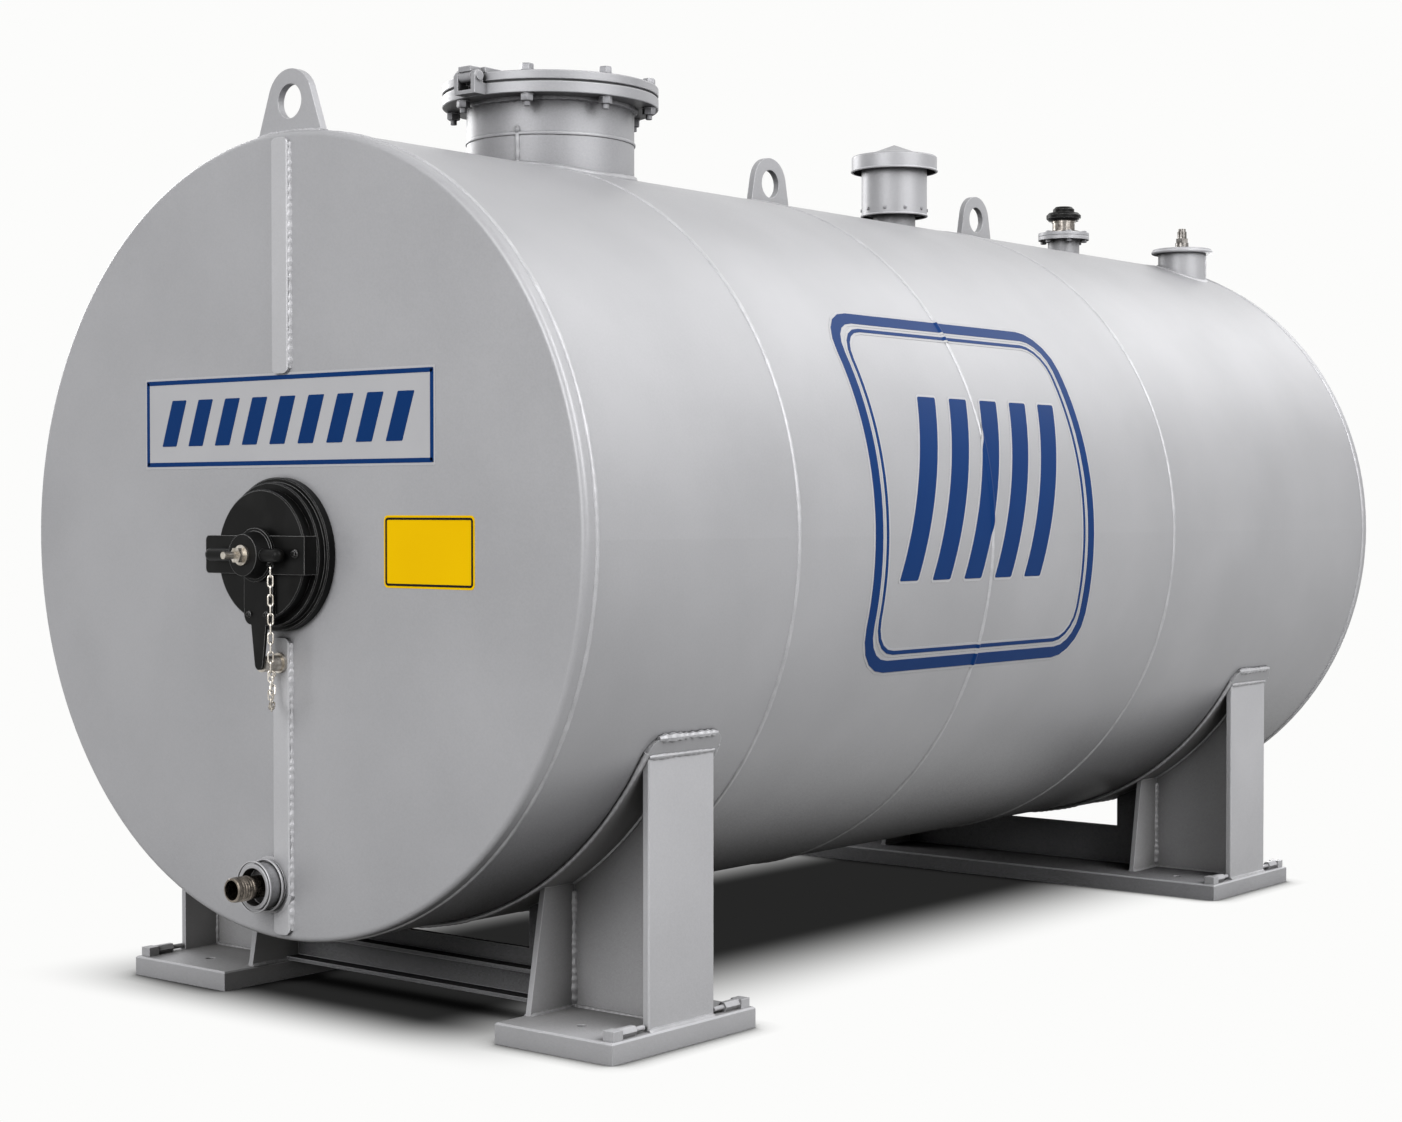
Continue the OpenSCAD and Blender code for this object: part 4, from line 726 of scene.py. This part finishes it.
for i in range(STRIPE_COUNT):
    bar = panel(STRIPE_W, STRIPE_H, SIGN_CORNER)
    bmesh.ops.transform(bar, matrix=lean, verts=bar.verts)
    lay_on_front(sign_blue, bar, SIGN_X + (i - (STRIPE_COUNT - 1) / 2) * STRIPE_PITCH, SIGN_Z, VINYL_T)
add_piece("front_sign_marks", sign_blue, blue_vinyl)
PLATE_W, PLATE_H, PLATE_X, PLATE_Z = 0.300, 0.172, 0.51, 1.195
PLATE_CORNER = 0.012
PLATE_LINE = 0.0055
PLATE_LINE_LESS = 0.010
PLATE_LINE_CORNER = 0.009
plate = bmesh.new()
lay_on_front(plate, panel(PLATE_W, PLATE_H, PLATE_CORNER), PLATE_X, PLATE_Z, 0)
add_piece("yellow_plate", plate, yellow_vinyl)
plate_line = bmesh.new()
line_sheet = panel(PLATE_W - PLATE_LINE_LESS, PLATE_H - PLATE_LINE_LESS, PLATE_LINE_CORNER, PLATE_LINE)
lay_on_front(plate_line, line_sheet, PLATE_X, PLATE_Z, VINYL_T)
add_piece("yellow_plate_line", plate_line, black_vinyl)

MARK_Y, MARK_RISE = -0.32, math.radians(7.5)
# A part of the mark is a panel's width, height, corner and line, where no line leaves the panel full. A
# pale film under each part shows round it as a halo.
MARK_OUTER = (1.12, 1.00, 0.13, 0.034)
MARK_INNER = (1.02, 0.90, 0.10, 0.011)
MARK_BAR = (0.085, 0.50, 0.006, 0.0)
MARK_BAR_COUNT = 5
MARK_BAR_PITCH = 0.155
HALO = 0.014
WRAP_CUTS = 30
RIDGE_CUTS = 5
RIDGE_CUT_PITCH = 0.003
RIDGE_H = 0.0043
RIDGE_HALF_W = 0.010
mark_seam_y = seam_ys[2]


def lay_on_shell(shape, sheet, y, rise, lift):
    """Wraps a flat panel on the shell's right side, over the round seam below it, and gives it thickness."""
    heights = [point.co.y for point in sheet.verts]
    levels = [min(heights) + (max(heights) - min(heights)) * i / WRAP_CUTS for i in range(1, WRAP_CUTS)]
    for level in levels:
        bmesh.ops.bisect_plane(sheet, geom=sheet.verts[:] + sheet.edges[:] + sheet.faces[:],
                               plane_co=(0, level, 0), plane_no=(0, 1, 0))
    for i in range(-RIDGE_CUTS, RIDGE_CUTS + 1):
        bmesh.ops.bisect_plane(sheet, geom=sheet.verts[:] + sheet.edges[:] + sheet.faces[:],
                               plane_co=(mark_seam_y - y + i * RIDGE_CUT_PITCH, 0, 0), plane_no=(1, 0, 0))
    body = bmesh.ops.extrude_face_region(sheet, geom=sheet.faces[:])
    raised = [item for item in body["geom"] if isinstance(item, bmesh.types.BMVert)]
    bmesh.ops.translate(sheet, vec=(0, 0, VINYL_T), verts=raised)
    for point in sheet.verts:
        turn = rise + point.co.y / tank_r
        ridge = RIDGE_H * max(0.0, 1 - ((y + point.co.x - mark_seam_y) / RIDGE_HALF_W) ** 2)
        out = tank_r + lift + ridge + point.co.z
        point.co = Vector((out * math.cos(turn), y + point.co.x, axis_z + out * math.sin(turn)))
    join(shape, sheet)


mark_film = bmesh.new()
mark_blue = bmesh.new()
mark_parts = [(0, *MARK_OUTER, None), (0, *MARK_INNER, None)]
for i in range(MARK_BAR_COUNT):
    mark_parts.append(((i - (MARK_BAR_COUNT - 1) / 2) * MARK_BAR_PITCH, *MARK_BAR, lean))
for x, width, height, corner, line, slant in mark_parts:
    for grow, shape, lift in ((HALO, mark_film, 0.0), (0.0, mark_blue, VINYL_T)):
        sheet = panel(width + grow, height + grow, corner + grow / 2, line + grow if line else 0.0)
        if slant:
            bmesh.ops.transform(sheet, matrix=slant, verts=sheet.verts)
        lay_on_shell(shape, sheet, MARK_Y + x, MARK_RISE, lift)
add_piece("side_mark_film", mark_film, pale_vinyl)
add_piece("side_mark_stripes", mark_blue, blue_vinyl)

# Studio: a plain pale floor with a painted soft shadow of the tank, a white surround, large soft lamps on the
# right and in front, one high behind that lays a sheen along the shell, and small ones left and low behind.
STUDIO_WHITE = "#FCFCFB"
AMBIENT = 0.16
FLOOR_R = 60
SHADOW_X = -0.22
SHADOW_FULL_X, SHADOW_END_X = 0.37, 1.03
SHADOW_FULL_Y, SHADOW_END_Y = 1.76, 2.14
SHADOW_DEEPEST = 0.02
CONTACT_REACH = 0.08


def shade_about(tree, place, middle, full, end):
    """1 up to a distance from a middle, falling softly to 0 at another."""
    apart = add_node(tree, "Math", {0: place, 1: middle}, operation="SUBTRACT")
    apart = add_node(tree, "Math", {0: apart.outputs[0]}, operation="ABSOLUTE")
    level = add_node(tree, "MapRange", {"Value": apart.outputs[0], "From Min": full, "From Max": end,
                                        "To Min": 1.0, "To Max": 0.0}, interpolation_type="SMOOTHSTEP")
    return level.outputs[0]


def seen_by_eye(tree):
    """1 for rays that show the studio to the camera, straight, mirrored or through glass, and else 0."""
    ray = add_node(tree, "LightPath").outputs
    seen = add_node(tree, "Math", {0: ray["Is Camera Ray"], 1: ray["Is Glossy Ray"]}, operation="MAXIMUM")
    seen = add_node(tree, "Math", {0: seen.outputs[0], 1: ray["Is Transmission Ray"]}, operation="MAXIMUM")
    return seen.outputs[0]


floor_mesh = bmesh.new()
bmesh.ops.create_circle(floor_mesh, cap_ends=True, segments=96, radius=FLOOR_R)
floor_data = bpy.data.meshes.new("floor")
floor_mesh.to_mesh(floor_data)
floor_mesh.free()
floor = bpy.data.objects.new("floor", floor_data)
bpy.context.scene.collection.objects.link(floor)
floor_finish = bpy.data.materials.new("studio_floor")
floor_finish.use_nodes = True
tree = floor_finish.node_tree
tree.nodes.remove(tree.nodes["Principled BSDF"])
# The shadow is painted: a broad soft oblong under the tank, and a short dark line round each foot.
place = add_node(tree, "SeparateXYZ", {0: add_node(tree, "TexCoord").outputs["Object"]})
shadow_y = (face_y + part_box("rear_end")[1].y) / 2
across = shade_about(tree, place.outputs["X"], SHADOW_X, SHADOW_FULL_X, SHADOW_END_X)
along = shade_about(tree, place.outputs["Y"], shadow_y, SHADOW_FULL_Y, SHADOW_END_Y)
under = add_node(tree, "Math", {0: across, 1: along}, operation="MULTIPLY")
broad = add_node(tree, "MapRange", {"Value": under.outputs[0], "To Min": 1.0, "To Max": SHADOW_DEEPEST})
corner = add_node(tree, "AmbientOcclusion", {"Distance": CONTACT_REACH}, samples=8)
close = add_node(tree, "MapRange", {"Value": corner.outputs["AO"], "From Min": 0.5, "From Max": 0.95,
                                    "To Min": 0.1, "To Max": 1.0})
shadow = add_node(tree, "Math", {0: broad.outputs[0], 1: close.outputs[0]}, operation="MULTIPLY")
pale = add_node(tree, "Emission", {"Color": colour(STUDIO_WHITE), "Strength": shadow.outputs[0]})
bounce = add_node(tree, "BsdfDiffuse", {"Color": colour("#646463")})
blend = add_node(tree, "MixShader", {0: seen_by_eye(tree), 1: bounce.outputs[0], 2: pale.outputs[0]})
tree.links.new(blend.outputs[0], tree.nodes["Material Output"].inputs["Surface"])
floor_data.materials.append(floor_finish)

world = bpy.data.worlds.new("studio")
bpy.context.scene.world = world
world.use_nodes = True
tree = world.node_tree
strength = add_node(tree, "MapRange", {"Value": seen_by_eye(tree), "To Min": AMBIENT, "To Max": 1.0})
background = tree.nodes["Background"]
background.inputs["Color"].default_value = colour(STUDIO_WHITE)
tree.links.new(strength.outputs[0], background.inputs["Strength"])


def soft_lamp(name, place, aim, size, power):
    """Square soft lamp that points at a place."""
    lamp = bpy.data.lights.new(name, "AREA")
    lamp.size = size
    lamp.energy = power
    stand = bpy.data.objects.new(name, lamp)
    stand.location = place
    stand.visible_camera = False
    stand.rotation_euler = (Vector(aim) - Vector(place)).to_track_quat("-Z", "Y").to_euler()
    bpy.context.scene.collection.objects.link(stand)


soft_lamp("right", (8.5, -0.5, 7.0), aim=(0, 0, 1.2), size=8.0, power=1080)
soft_lamp("behind", (2.6, 11.5, 9.4), aim=(0.5, 0, 1.8), size=8.0, power=400)
soft_lamp("front", (0.8, -11.0, 5.2), aim=(0, -2.0, 1.2), size=6.5, power=820)
soft_lamp("left", (-8.5, 0.5, 4.5), aim=(0, 0, 1.2), size=4.0, power=400)
soft_lamp("rear", (-0.8, 6.4, 0.9), aim=(0, 2.2, 1.1), size=2.2, power=90)

PHOTO_W = 1402
FOCAL_PX = 2392.4
SENSOR_MM = 36.0
CAMERA_PLACE = (4.5208, -5.9479, 1.2936)
CAMERA_YAW = 0.680
CAMERA_PITCH = -0.0213
camera_data = bpy.data.cameras.new("camera")
camera_data.sensor_fit = "HORIZONTAL"
camera_data.sensor_width = SENSOR_MM
camera_data.lens = FOCAL_PX / PHOTO_W * SENSOR_MM
camera = bpy.data.objects.new("camera", camera_data)
camera.location = CAMERA_PLACE
camera.rotation_euler = (math.pi / 2 + CAMERA_PITCH, 0, CAMERA_YAW)
bpy.context.scene.collection.objects.link(camera)
bpy.context.scene.camera = camera
bpy.context.scene.view_settings.view_transform = "Standard"
